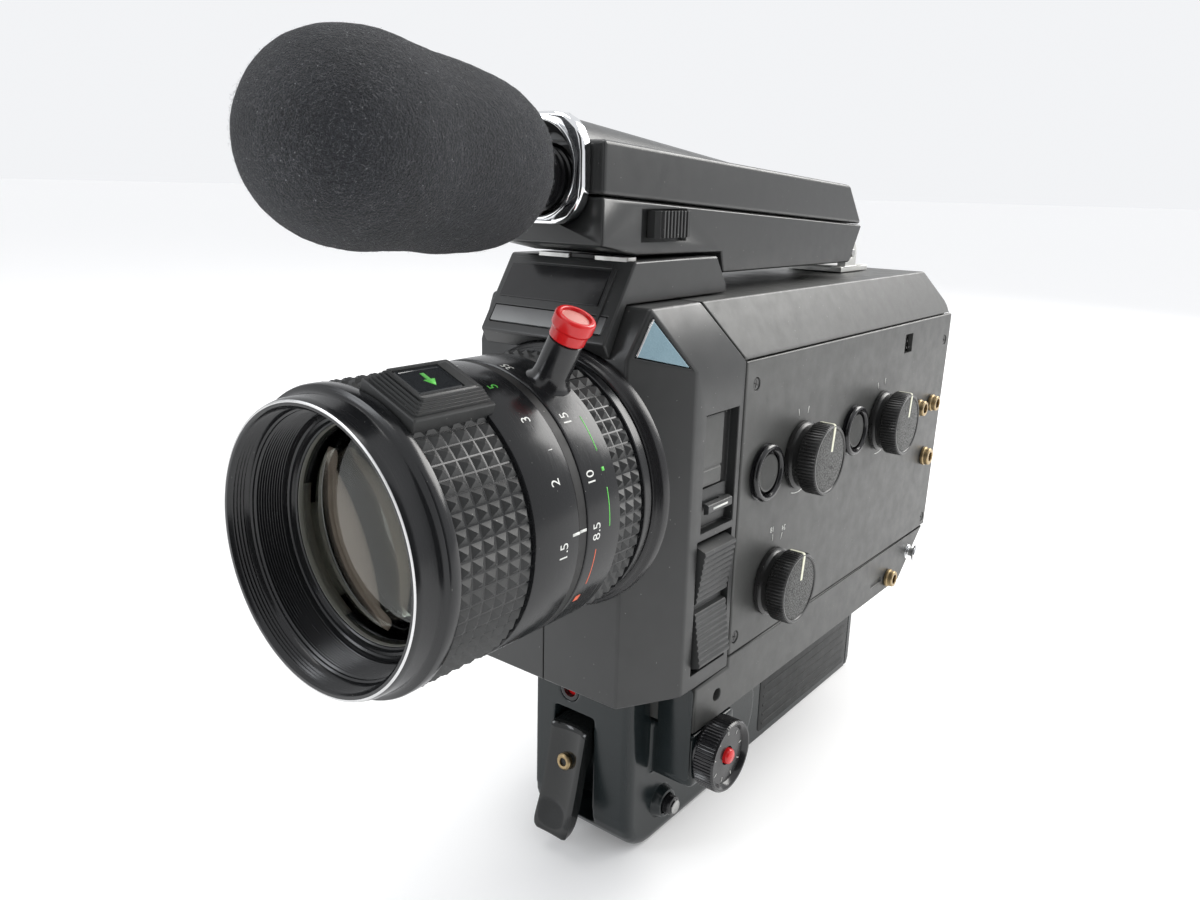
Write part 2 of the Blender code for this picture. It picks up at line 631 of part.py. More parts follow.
def side_controls():
    """Knobs, buttons, jacks and the zoom switches."""
    knob("exposure_knob", 27.6, 113.5)
    knob("sound_knob", 88.2, 113.8)
    knob("speed_knob", 14.2, 77.0)
    push_button("exposure_lock", 5.5, 112.7)
    push_button("fade", 64.8, 114.4)
    jack("microphone_jack", 124.0, 112.5)
    jack("earphone_jack", 137.0, 112.5)
    jack("remote_jack", 135.5, 91.5, 3.6)
    jack("base_jack", 111.0, 47.8, 3.4)
    slider_outline = [
        (31.3, 103.6), (33.0, 103.6), (33.0, 108.0), (34.6, 108.4), (34.6, 109.4), (33.0, 109.8), (33.0, 114.0),
        (31.3, 114.0),
    ]
    slider = outline_solid("zoom_speed_slider", slider_outline, "Y", -25.0, -12.8, "gloss_black")
    pivot("speed_slider_axis", (32.0, -19.0, 109.0), [slider])
    rocker_outline = [
        (33.0, 99.4), (36.2, 98.4), (33.8, 82.8), (33.8, 79.8), (36.2, 64.2), (33.0, 63.2), (30.6, 79.6),
        (30.6, 83.0),
    ]
    rocker = outline_solid("zoom_rocker", rocker_outline, "Y", -27.4, -11.6, "gloss_black")
    bevel(rocker, 0.3, segments=1)
    pivot("rocker_axis", (31.2, -19.5, 81.3), [rocker])


# ---------------------------------------------------------------- boom and microphone

def on_boom(distance, drop=0.0):
    """A point on the microphone's axis, at a distance in front of the boom's face."""
    return (
        BOOM_X,
        BOOM_FRONT_Y - distance * math.cos(BOOM_TILT),
        MIC_Z + distance * math.sin(BOOM_TILT) - drop,
    )


def boom_parts():
    """The boom's two housings, bezel, slide switch, bracket and pin."""
    seam_front, seam_rear = (BOOM_FRONT_Y, 187.5), (98.7, 179.3)
    low_x, high_x = BOOM_X - BOOM_HALF_WIDTH, BOOM_X + BOOM_HALF_WIDTH
    channel = cylinder("mic_channel", on_boom(8.0), on_boom(-109.0), CHANNEL_RADIUS)

    lower_outline = [
        seam_front, (BOOM_FRONT_Y, 176.0), (-35.0, 173.4), (5.0, 173.0), (6.5, 167.3), (91.0, 166.8), seam_rear,
    ]
    lower = outline_solid("boom_lower", lower_outline, "X", low_x, high_x, "black_paint")
    bevel(lower, 0.6, segments=1)
    py, pz = BOOM_PIVOT
    tongue_outline = arc((py, pz), 3.6, -90, 90, 6) + [(84.0, pz + 3.6), (84.0, pz - 2.0)]
    tongue = outline_solid("boom_tongue", tongue_outline, "X", BOOM_X - 6.5, BOOM_X + 6.5)
    join(lower, tongue)
    cut(
        lower, channel,
        cylinder("tongue_hole", (-20, py, pz), (20, py, pz), 1.7, steps=20),
        box("switch_recess", (high_x - 1.6, -33.5, 176.6), (high_x + 5, -13.2, 184.8)),
    )

    lift = GAP
    cover_outline = [
        (seam_front[0], seam_front[1] + lift), (seam_rear[0], seam_rear[1] + lift), (87.0, 192.6),
        (BOOM_FRONT_Y, 200.4),
    ]
    cover = outline_solid("boom_cover", cover_outline, "X", low_x, high_x, "black_paint")
    bevel(cover, 1.2, segments=2)
    crown = cylinder(
        "cover_crown", (BOOM_X, BOOM_FRONT_Y, BEZEL_Z), (BOOM_X, 88.0, BEZEL_Z - 137.0 * math.tan(BOOM_TILT)), 12.8,
        steps=40,
    )
    below_seam = [
        (-70.0, 160.0), (120.0, 150.0), (120.0, seam_rear[1] + lift - 21.3 * 8.2 / 147.7),
        (-70.0, seam_front[1] + lift + 21.0 * 8.2 / 147.7),
    ]
    join(cover, crown)
    front_trim = box("cover_front_trim", (-40, -60, 160), (40, BOOM_FRONT_Y, 220))
    cut(cover, outline_solid("below_seam", below_seam, "X", -40, 40), front_trim, channel)

    bezel_outline = rounded_rectangle((BOOM_X - 13.6, BEZEL_Z - 12.9), (BOOM_X + 13.6, BEZEL_Z + 12.9), 9.0, 5)
    bezel = outline_solid("boom_bezel", bezel_outline, "Y", BOOM_FRONT_Y - 4.2, BOOM_FRONT_Y - GAP, "chrome")
    bevel(bezel, 0.8)
    cut(bezel, cylinder("bezel_opening", (BOOM_X, BOOM_FRONT_Y - 5.2, BEZEL_Z), (BOOM_X, BOOM_FRONT_Y + 1, BEZEL_Z),
                        12.2, None, 10.7, 36))
    outline = rounded_rectangle((-29.5, 177.6), (-14.0, 184.4), 0.6, 2)
    switch = outline_solid("boom_switch", outline, "X", high_x - 1.2, high_x + 2.8, "gloss_black")
    pivot("boom_switch_axis", (high_x, -22.0, 181.0), [switch])

    base = box("boom_bracket", (BOOM_X - 10.5, 99.0, DECK_Z + GAP), (BOOM_X + 10.5, 122.0, 164.2), "aluminium")
    ears = []
    for hand in (-1, 1):
        near, far = sorted((BOOM_X + hand * 7.2, BOOM_X + hand * 10.4))
        outline = arc((py, pz), 4.6, 0, 180, 8) + [(py - 4.6, 163.0), (py + 4.6, 163.0)]
        ears.append(outline_solid(f"bracket_ear_{hand + 1}", outline, "X", near, far))
    join(base, *ears)
    cut(base, cylinder("bracket_hole", (-20, py, pz), (20, py, pz), 1.7, steps=20))
    cylinder("boom_pin", (BOOM_X - 11.2, py, pz), (BOOM_X + 11.2, py, pz), 1.4, "steel", steps=20)
    return [lower, cover, bezel]


def windscreen_profile():
    """The foam's outline from its blunt nose to its neck, then up the bore for the microphone."""
    length = 71.0
    radii = [0.0, 12.5, 18.0, 20.0, 20.4, 21.2, 18.0, 10.1, 0.0]
    knots = len(radii) - 1
    points = []
    for i in range(knots, 0, -1):
        points.append((radii[i], length * (1 - math.cos(math.pi * i / knots)) / 2))
        if 1 < i:
            middle = (i - 0.5) / knots
            wide = (radii[i] + radii[i - 1]) / 2 * 1.018
            points.append((wide if radii[i] > 0 else 5.6, length * (1 - math.cos(math.pi * middle)) / 2))
    points += [(11.0, 1.2), (MIC_RADIUS + GAP, 0.4), (MIC_RADIUS + GAP, 24.0), (0.0, 24.0)]
    return points


def microphone():
    """The sliding microphone and its foam windscreen."""
    direction = (0.0, -math.cos(BOOM_TILT), math.sin(BOOM_TILT))
    tube = turned("microphone", [
        (0.0, 128.0), (MIC_RADIUS, 128.0), (MIC_RADIUS, 0.0), (0.0, 0.0),
    ], on_boom(-95.0), direction, "lens_black")
    foam = turned("windscreen", windscreen_profile(), on_boom(10.0), direction, "foam", 40)
    pivot("microphone_axis", on_boom(0.0), [tube, foam])


# ---------------------------------------------------------------- grip

def grip_head():
    """The fixed head of the grip, with the dial's boss and two cheeks for the handle."""
    py, pz = HANDLE_PIVOT
    low_x, high_x = GRIP_X - HEAD_HALF_WIDTH, GRIP_X + HEAD_HALF_WIDTH
    top = BODY_BOTTOM_Z - GAP
    outline = [
        (-35.0, HOOD_BOTTOM_Z - GAP), *arc((-23.0, 12.0), 12.0, 180, 270, 6), (16.0, 0.0),
        (14.0, HOOD_BOTTOM_Z - GAP),
    ]
    head = outline_solid("grip_head", outline, "X", low_x, high_x, "grip_plastic")
    bevel(head, 2.6, segments=3, angle=50.0)
    boss = box("dial_boss", (4.0, -24.9, 25.0), (BODY_HALF_WIDTH, -2.0, top - 0.5))
    bevel(boss, 1.2, segments=2)
    cheeks = []
    for hand in (-1, 1):
        near, far = sorted((GRIP_X + hand * (HANDLE_HALF_WIDTH - 1.0), GRIP_X + hand * (HEAD_HALF_WIDTH - 1.2)))
        outline = arc((py, pz), 19.0, -90, 90, 14) + [(-4.0, pz + 19.0), (-4.0, pz - 19.0)]
        cheeks.append(outline_solid(f"grip_cheek_{hand + 1}", outline, "X", near, far))
    join(head, boss, *cheeks)
    low_swing, high_swing = GRIP_X - HANDLE_HALF_WIDTH - GAP, GRIP_X + HANDLE_HALF_WIDTH + GAP
    handle_space = cylinder("handle_space", (low_swing, py, pz), (high_swing, py, pz), HANDLE_RADIUS + 0.5,
                            steps=ROUND_STEPS)
    dy, dz = DIAL_CENTRE
    cut(
        head, handle_space,
        box("body_seat", (-45, -25.3, top), (45, 140, 62)),
        box("handle_swing", (low_swing, py - HANDLE_RADIUS - 0.5, -5.0), (high_swing, 45.0, pz)),
        outline_solid("head_flank", [(-30, -45), (-15.4, -45), (-15.4, -35.5), (-19.8, -14), (-30, -14)], "Z", -5, 70),
        box("trigger_slot", (TRIGGER_X - 7.3, -45, 6.5), (TRIGGER_X + 7.3, -22, 41.5)),
        cylinder("grip_pin_hole", (-30, py, pz), (30, py, pz), 2.6, steps=20),
        cylinder("release_hole", (12.0, -18.2, 12.0), (30.0, -18.2, 12.0), 3.3, steps=24),
        cylinder("run_lamp_hole", (-3.0, -40.0, 47.6), (-3.0, -33.0, 47.6), 3.4, steps=24),
        cylinder("tripod_hole", (0.0, -14.0, -5.0), (0.0, -14.0, 9.0), 3.2, steps=24),
        cylinder("dial_shaft_hole", (20.0, dy, dz), (40.0, dy, dz), 3.0, steps=24),
    )
    cylinder("grip_pin", (GRIP_X - 19.0, py, pz), (GRIP_X + 19.0, py, pz), 2.3, "steel", steps=20)


def grip_controls():
    """Trigger, ribbed dial with its button, and the handle's release button."""
    trigger_outline = [
        (-36.0, 37.8), (-38.2, 36.0), (-39.6, 31.0), (-41.2, 23.0), (-43.4, 14.0), (-46.0, 8.0), (-45.4, 5.6),
        (-43.2, 5.4), (-40.6, 9.0), (-38.2, 16.0), (-36.4, 24.0), (-34.4, 30.0), (-30.0, 32.6), (-26.8, 34.0),
        (-26.4, 37.2), (-29.0, 38.6),
    ]
    trigger = outline_solid("trigger", trigger_outline, "X", TRIGGER_X - 6.5, TRIGGER_X + 6.5, "gloss_black")
    bevel(trigger, 0.5, segments=1)
    front_view = rounded_rectangle((TRIGGER_X - 7.0, 5.0), (TRIGGER_X + 7.0, 45.0), 4.5)
    combine(trigger, [outline_solid("trigger_front_view", front_view, "Y", -60, 0)], "INTERSECT")
    pivot("trigger_axis", (TRIGGER_X, *TRIGGER_PIVOT), [trigger])
    dy, dz = DIAL_CENTRE
    base = (BODY_HALF_WIDTH + GAP, dy, dz)
    dial = turned("mode_dial", [
        (9.6, 8.0), (10.5, 7.2), (10.5, 1.6), (8.0, 1.2), (8.0, 0.0), (2.7, 0.0), (2.7, 8.0),
    ], base, (1, 0, 0), "gloss_black", 36)
    pivot("dial_axis", base, [dial])
    button = turned("dial_button", [
        (0.0, 12.4), (1.8, 12.4), (2.3, 11.8), (2.3, 0.0), (0.0, 0.0),
    ], (BODY_HALF_WIDTH - 4.0, dy, dz), (1, 0, 0), "red_plastic", 24)
    pivot("dial_button_axis", base, [button])
    release = turned("grip_release_button", [
        (0.0, 9.4), (2.3, 9.4), (3.0, 8.7), (3.0, 0.0), (0.0, 0.0),
    ], (16.0, -18.2, 12.0), (1, 0, 0), "gloss_black", 24)
    pivot("release_axis", (19.5, -18.2, 12.0), [release])


def handle():
    """The folding handle, hollow for the batteries, with its end cover."""
    py, pz = HANDLE_PIVOT
    low_x, high_x = GRIP_X - HANDLE_HALF_WIDTH, GRIP_X + HANDLE_HALF_WIDTH
    top, bottom = pz + HANDLE_RADIUS, pz - HANDLE_RADIUS
    outline = arc((py, pz), HANDLE_RADIUS, 90, 270, 24) + [(HANDLE_END_Y, bottom), (HANDLE_END_Y, top)]
    shell = outline_solid("grip_handle", outline, "X", low_x, high_x, "grip_plastic")
    cut(
        shell,
        box("battery_space", (low_x + 2.5, 44.0, bottom + 2.5), (high_x - 2.5, HANDLE_END_Y + 5, top - 2.5)),
        cylinder("handle_pin_hole", (-30, py, pz), (30, py, pz), 2.6, steps=20),
    )
    cover_outline = [
        (HANDLE_END_Y + GAP, bottom + 0.4), (HANDLE_END_Y + 2.0, bottom + 0.4), (HANDLE_END_Y + 3.3, bottom + 3.0),
        (HANDLE_END_Y + 3.3, top - 2.0), (HANDLE_END_Y + 2.0, top - 0.2), (HANDLE_END_Y + GAP, top - 0.2),
    ]
    cover = outline_solid("battery_cover", cover_outline, "X", low_x, high_x, "grip_plastic")
    pivot("handle_axis", (GRIP_X, py, pz), [shell, cover])


def build():
    """Builds the whole camera."""
    clear_scene()
    front_housings()
    main_body()
    side_panel()
    rear_cover()
    nameplate_block()
    film_door()
    lens_fixed_parts()
    focus_group()
    zoom_group()
    film_parts()
    viewfinder()
    side_controls()
    boom = boom_parts()
    pivot("boom_axis", (BOOM_X, *BOOM_PIVOT), boom)
    microphone()
    grip_head()
    grip_controls()
    handle()
    for thing in PARTS.objects:
        if thing.type == "MESH" and not any(step.type == "SCREW" for step in thing.modifiers):
            smooth(thing)


build()
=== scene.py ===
import math
import random

import bmesh
import bpy
from mathutils import Matrix, Vector, noise


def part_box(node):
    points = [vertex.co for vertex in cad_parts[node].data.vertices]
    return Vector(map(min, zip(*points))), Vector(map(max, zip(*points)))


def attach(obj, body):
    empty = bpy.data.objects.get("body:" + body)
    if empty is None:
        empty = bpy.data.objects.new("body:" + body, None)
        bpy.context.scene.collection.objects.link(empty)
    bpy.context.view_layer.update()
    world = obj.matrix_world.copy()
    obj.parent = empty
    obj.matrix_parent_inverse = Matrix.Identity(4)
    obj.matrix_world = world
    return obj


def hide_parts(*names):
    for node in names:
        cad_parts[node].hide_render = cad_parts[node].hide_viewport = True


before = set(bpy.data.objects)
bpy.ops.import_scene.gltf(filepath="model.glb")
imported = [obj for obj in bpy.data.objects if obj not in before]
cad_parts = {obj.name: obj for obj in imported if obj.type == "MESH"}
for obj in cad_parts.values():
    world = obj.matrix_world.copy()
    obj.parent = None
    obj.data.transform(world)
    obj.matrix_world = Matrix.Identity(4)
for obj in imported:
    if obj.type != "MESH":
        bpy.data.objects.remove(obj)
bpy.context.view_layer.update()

# Lengths below are millimetres; MM turns them into metres. +X is the side with the controls, the lens looks
# along -Y, +Z is up.
MM = 0.001
DICE = random.Random(7)


# ---------------------------------------------------------------- places on the CAD model

def ends(node):
    """A node's lowest and highest corners, in millimetres."""
    low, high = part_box(node)
    return low / MM, high / MM


def centre(node):
    """The middle of a node's box, in millimetres."""
    low, high = ends(node)
    return (low + high) / 2


def foot(node):
    """The middle of a node's face towards the body, for a control on the +X side."""
    middle = centre(node)
    return Vector((ends(node)[0].x, middle.y, middle.z))


def axes(direction):
    """Columns: a piece's own x, its y (as near up as possible) and its axis."""
    along = Vector(direction).normalized()
    up = Vector((0, 0, 1)) if abs(along.z) < 0.9 else Vector((0, 1, 0))
    up = (up - up.dot(along) * along).normalized()
    return Matrix((along.cross(up), up, along)).transposed()


def local(base, direction):
    """A function that takes a piece's own (x, y, z) to the model's millimetres."""
    turn = axes(direction)
    start = Vector(base)
    return lambda x, y, z: start + turn @ Vector((x, y, z))


def flat(base, direction):
    """Lays a flat drawing (u, v) on a plane through base."""
    spot = local(base, direction)
    return lambda u, v: spot(u, v, 0.0)


def radial(spot, degrees, reach, height):
    """Lays a flat drawing on a round face: u outwards from reach at an angle, v across."""
    turn = math.radians(degrees)
    along = Vector((math.cos(turn), math.sin(turn)))
    across = Vector((-along.y, along.x))

    def lay(u, v):
        p = along * (reach + u) + across * v
        return spot(p.x, p.y, height)

    return lay


def between(p, f):
    """The value at f from p[1] to p[2] on a smooth curve through four values."""
    return 0.5 * (2 * p[1] + (p[2] - p[0]) * f + (2 * p[0] - 5 * p[1] + 4 * p[2] - p[3]) * f ** 2
                  + (3 * p[1] - p[0] - 3 * p[2] + p[3]) * f ** 3)


def cut_corner(before, here, after, cut, steps):
    """Points of a small curve that rounds the corner at here."""
    start = here + (before - here).normalized() * cut
    end = here + (after - here).normalized() * cut
    shares = [k / steps for k in range(steps + 1)]
    return [start * (1 - t) ** 2 + here * 2 * t * (1 - t) + end * t ** 2 for t in shares]


# ---------------------------------------------------------------- materials

class Nodes:
    """A material's node tree with a few short cuts."""

    def __init__(self, name):
        self.material = bpy.data.materials.new(name)
        self.material.use_nodes = True
        self.tree = self.material.node_tree
        self.shader = self.tree.nodes["Principled BSDF"]
        self.place = self.add("ShaderNodeTexCoord").outputs["Object"]

    def add(self, kind, **values):
        node = self.tree.nodes.new(kind)
        for key, value in values.items():
            setattr(node, key, value)
        return node

    def link(self, source, target):
        if isinstance(source, (int, float)):
            target.default_value = source
        elif isinstance(source, (tuple, list)):
            target.default_value = (*source[:3], 1.0)
        else:
            self.tree.links.new(source, target)

    def stretched(self, scale):
        mapping = self.add("ShaderNodeMapping")
        mapping.inputs["Scale"].default_value = scale
        self.link(self.place, mapping.inputs["Vector"])
        return mapping.outputs["Vector"]

    def noise(self, size, detail=3.0, rough=0.55, stretch=None):
        """Noise whose grains are about size millimetres."""
        node = self.add("ShaderNodeTexNoise")
        node.inputs["Scale"].default_value = 1.0 / (size * MM)
        node.inputs["Detail"].default_value = detail
        node.inputs["Roughness"].default_value = rough
        self.link(self.stretched(stretch) if stretch else self.place, node.inputs["Vector"])
        return node.outputs["Fac"]

    def cells(self, size, feature="F1"):
        node = self.add("ShaderNodeTexVoronoi", feature=feature)
        node.inputs["Scale"].default_value = 1.0 / (size * MM)
        self.link(self.place, node.inputs["Vector"])
        return node.outputs["Distance"]

    def math(self, operation, a, b=0.0):
        node = self.add("ShaderNodeMath", operation=operation)
        self.link(a, node.inputs[0])
        self.link(b, node.inputs[1])
        return node.outputs[0]

    def span(self, value, low, high, to_low=0.0, to_high=1.0):
        node = self.add("ShaderNodeMapRange")
        self.link(value, node.inputs["Value"])
        for key, number in (("From Min", low), ("From Max", high), ("To Min", to_low), ("To Max", to_high)):
            node.inputs[key].default_value = number
        return node.outputs["Result"]

    def mix(self, amount, a, b):
        node = self.add("ShaderNodeMix", data_type="RGBA")
        self.link(amount, node.inputs["Factor"])
        self.link(a, node.inputs["A"])
        self.link(b, node.inputs["B"])
        return node.outputs["Result"]

    def bump(self, height, depth, normal=None):
        """Bump of about depth millimetres."""
        node = self.add("ShaderNodeBump")
        node.inputs["Strength"].default_value = 1.0
        node.inputs["Distance"].default_value = depth * MM
        self.link(height, node.inputs["Height"])
        if normal is not None:
            self.link(normal, node.inputs["Normal"])
        return node.outputs["Normal"]

    def set(self, **sockets):
        names = {
            "colour": "Base Color", "rough": "Roughness", "metal": "Metallic", "normal": "Normal",
            "coat": "Coat Weight", "coat_rough": "Coat Roughness", "sheen": "Sheen Weight",
            "sheen_rough": "Sheen Roughness", "specular": "Specular IOR Level",
            "emission": "Emission Color", "glow": "Emission Strength",
        }
        for key, value in sockets.items():
            self.link(value, self.shader.inputs[names[key]])
        return self.material


def shade(colour, factor):
    """A colour made lighter or darker."""
    return tuple(min(1.0, channel * factor) for channel in colour)


def finish_material(name, colour, rough, metal=0.0, grain=0.35, depth=0.012, variety=0.12, dust=0.0, smudge=0.06,
                    **more):
    """Paint, plastic or metal: slight colour and gloss variation, fine grain, and dust specks."""
    nodes = Nodes(name)
    broad = nodes.noise(14.0, 4.0)
    base = nodes.mix(broad, shade(colour, 1 - variety), shade(colour, 1 + variety))
    gloss = nodes.span(nodes.noise(5.0, 5.0, 0.65), 0.3, 0.7, max(0.02, rough - smudge), min(1.0, rough + smudge))
    normal = nodes.bump(nodes.noise(grain, 2.0), depth)
    if dust > 0.0:
        speck = nodes.math("LESS_THAN", nodes.cells(2.6), 0.036)
        fine = nodes.math("LESS_THAN", nodes.cells(1.1), 0.03)
        patch = nodes.span(nodes.noise(9.0, 3.0), 0.47, 0.62)
        both = nodes.math("MAXIMUM", speck, nodes.math("MULTIPLY", fine, patch))
        amount = nodes.math("MINIMUM", nodes.math("MULTIPLY", both, dust), 1.0)
        base = nodes.mix(amount, base, (0.42, 0.42, 0.4))
        gloss = nodes.math("MAXIMUM", gloss, nodes.math("MULTIPLY", amount, 0.9))
    return nodes.set(colour=base, rough=gloss, metal=metal, normal=normal, **more)


def leather_material(name, colour):
    """Moulded leather grain on the knobs' faces, with painted shade: darker in the creases and lighter on the raised
    grain.
    """
    nodes = Nodes(name)
    cells = nodes.cells(0.9, "DISTANCE_TO_EDGE")
    crease = nodes.span(cells, 0.0, 0.16)
    # Painted shade: the creases get a darker copy of the colour, the raised grain a lighter one.
    base = nodes.mix(crease, shade(colour, 0.45), shade(colour, 1.15))
    normal = nodes.bump(nodes.math("ADD", crease, nodes.noise(0.5, 3.0)), 0.07)
    return nodes.set(colour=base, rough=nodes.span(crease, 0, 1, 0.75, 0.42), normal=normal)


def foam_material():
    """Felted foam: dark, matt, with lighter fibre ends."""
    nodes = Nodes("foam")
    fibre = nodes.noise(0.5, 5.0, 0.7)
    clump = nodes.noise(1.3, 4.0, 0.65)
    broad = nodes.noise(14.0, 3.0)
    fleck = nodes.span(nodes.noise(0.33, 2.0, 0.5), 0.58, 0.7)
    rare = nodes.math("LESS_THAN", nodes.cells(2.2), 0.06)
    base = nodes.mix(nodes.span(fibre, 0.3, 0.7), (0.003, 0.0035, 0.005), (0.036, 0.039, 0.046))
    base = nodes.mix(nodes.span(clump, 0.35, 0.65, 0.0, 0.6), base, (0.008, 0.009, 0.012))
    base = nodes.mix(nodes.span(broad, 0.3, 0.7, 0.0, 0.35), base, (0.03, 0.033, 0.04))
    base = nodes.mix(nodes.math("MULTIPLY", fleck, 0.5), base, (0.1, 0.105, 0.115))
    base = nodes.mix(nodes.math("MULTIPLY", rare, 0.75), base, (0.3, 0.31, 0.32))
    normal = nodes.bump(fibre, 1.0, normal=nodes.bump(clump, 0.5))
    return nodes.set(colour=base, rough=1.0, specular=0.1, sheen=0.18, sheen_rough=0.5, normal=normal)


def frosted_material():
    """Granular blue-grey window."""
    nodes = Nodes("frosted_window")
    grain = nodes.noise(0.35, 3.0, 0.7)
    base = nodes.mix(grain, (0.1, 0.19, 0.235), (0.25, 0.38, 0.44))
    broad = nodes.noise(8.0, 2.0)
    base = nodes.mix(nodes.math("MULTIPLY", broad, 0.35), base, (0.32, 0.44, 0.5))
    return nodes.set(colour=base, rough=0.42, normal=nodes.bump(grain, 0.06), coat=0.3, coat_rough=0.25)


def strip_material(node):
    """Smoked window, lighter towards its lower edge: a painted gradient of light."""
    nodes = Nodes("smoked_strip")
    low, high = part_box(node)
    split = nodes.add("ShaderNodeSeparateXYZ")
    nodes.link(nodes.place, split.inputs[0])
    # The height ramp is painted light: it makes the window lighter towards its lower edge.
    height = nodes.span(split.outputs["Z"], low.z, high.z)
    cloud = nodes.noise(6.0, 2.0, stretch=(0.3, 1, 1))
    tone = nodes.math("ADD", nodes.math("MULTIPLY", height, 0.7), nodes.math("MULTIPLY", cloud, 0.4))
    base = nodes.mix(tone, (0.3, 0.31, 0.31), (0.05, 0.05, 0.052))
    return nodes.set(colour=base, rough=0.12, coat=0.6, coat_rough=0.05)


def glass_material(name, tint, clear):
    """Coated glass: mostly see-through, with a sharp tinted reflection."""
    nodes = Nodes(name)
    nodes.tree.nodes.remove(nodes.shader)
    output = next(node for node in nodes.tree.nodes if node.type == "OUTPUT_MATERIAL")
    through = nodes.add("ShaderNodeBsdfTransparent")
    nodes.link(nodes.mix(nodes.noise(12.0), shade(clear, 0.97), clear), through.inputs["Color"])
    mirror = nodes.add("ShaderNodeBsdfGlossy")
    nodes.link(tint, mirror.inputs["Color"])
    smear = nodes.span(nodes.noise(9.0, 2.0), 0.35, 0.7, 0.0, 0.03)
    nodes.link(smear, mirror.inputs["Roughness"])
    edge = nodes.add("ShaderNodeFresnel")
    edge.inputs["IOR"].default_value = 1.45
    blend = nodes.add("ShaderNodeMixShader")
    nodes.link(edge.outputs[0], blend.inputs[0])
    nodes.link(through.outputs[0], blend.inputs[1])
    nodes.link(mirror.outputs[0], blend.inputs[2])
    nodes.link(blend.outputs[0], output.inputs["Surface"])
    return nodes.material


def element_material(name, colour, glow):
    """A coated element deep in the lens: slow changes of tone and gloss, and a glow in its own colour: painted light
    standing in for the light that it passes back.
    """
    nodes = Nodes(name)
    base = nodes.mix(nodes.noise(9.0, 2.0), shade(colour, 0.94), shade(colour, 1.06))
    return nodes.set(colour=base, rough=nodes.span(nodes.noise(6.0, 2.0), 0.3, 0.7, 0.4, 0.5), metal=0.5,
                     emission=base, glow=glow)


def brushed_ring_material(name, colour, rough, grain, metal=0.4):
    """Turned black anodised metal with fine rings round the lens."""
    nodes = Nodes(name)
    lines = nodes.noise(grain, 2.0, 0.5, stretch=(0.02, 1.0, 0.02))
    broad = nodes.noise(20.0, 3.0)
    base = nodes.mix(broad, shade(colour, 0.8), shade(colour, 1.25))
    speck = nodes.math("LESS_THAN", nodes.cells(2.3), 0.03)
    base = nodes.mix(nodes.math("MULTIPLY", speck, 0.7), base, (0.4, 0.4, 0.38))
    gloss = nodes.span(lines, 0.3, 0.7, rough - 0.05, rough + 0.08)
    return nodes.set(colour=base, rough=gloss, metal=metal, normal=nodes.bump(lines, 0.003))


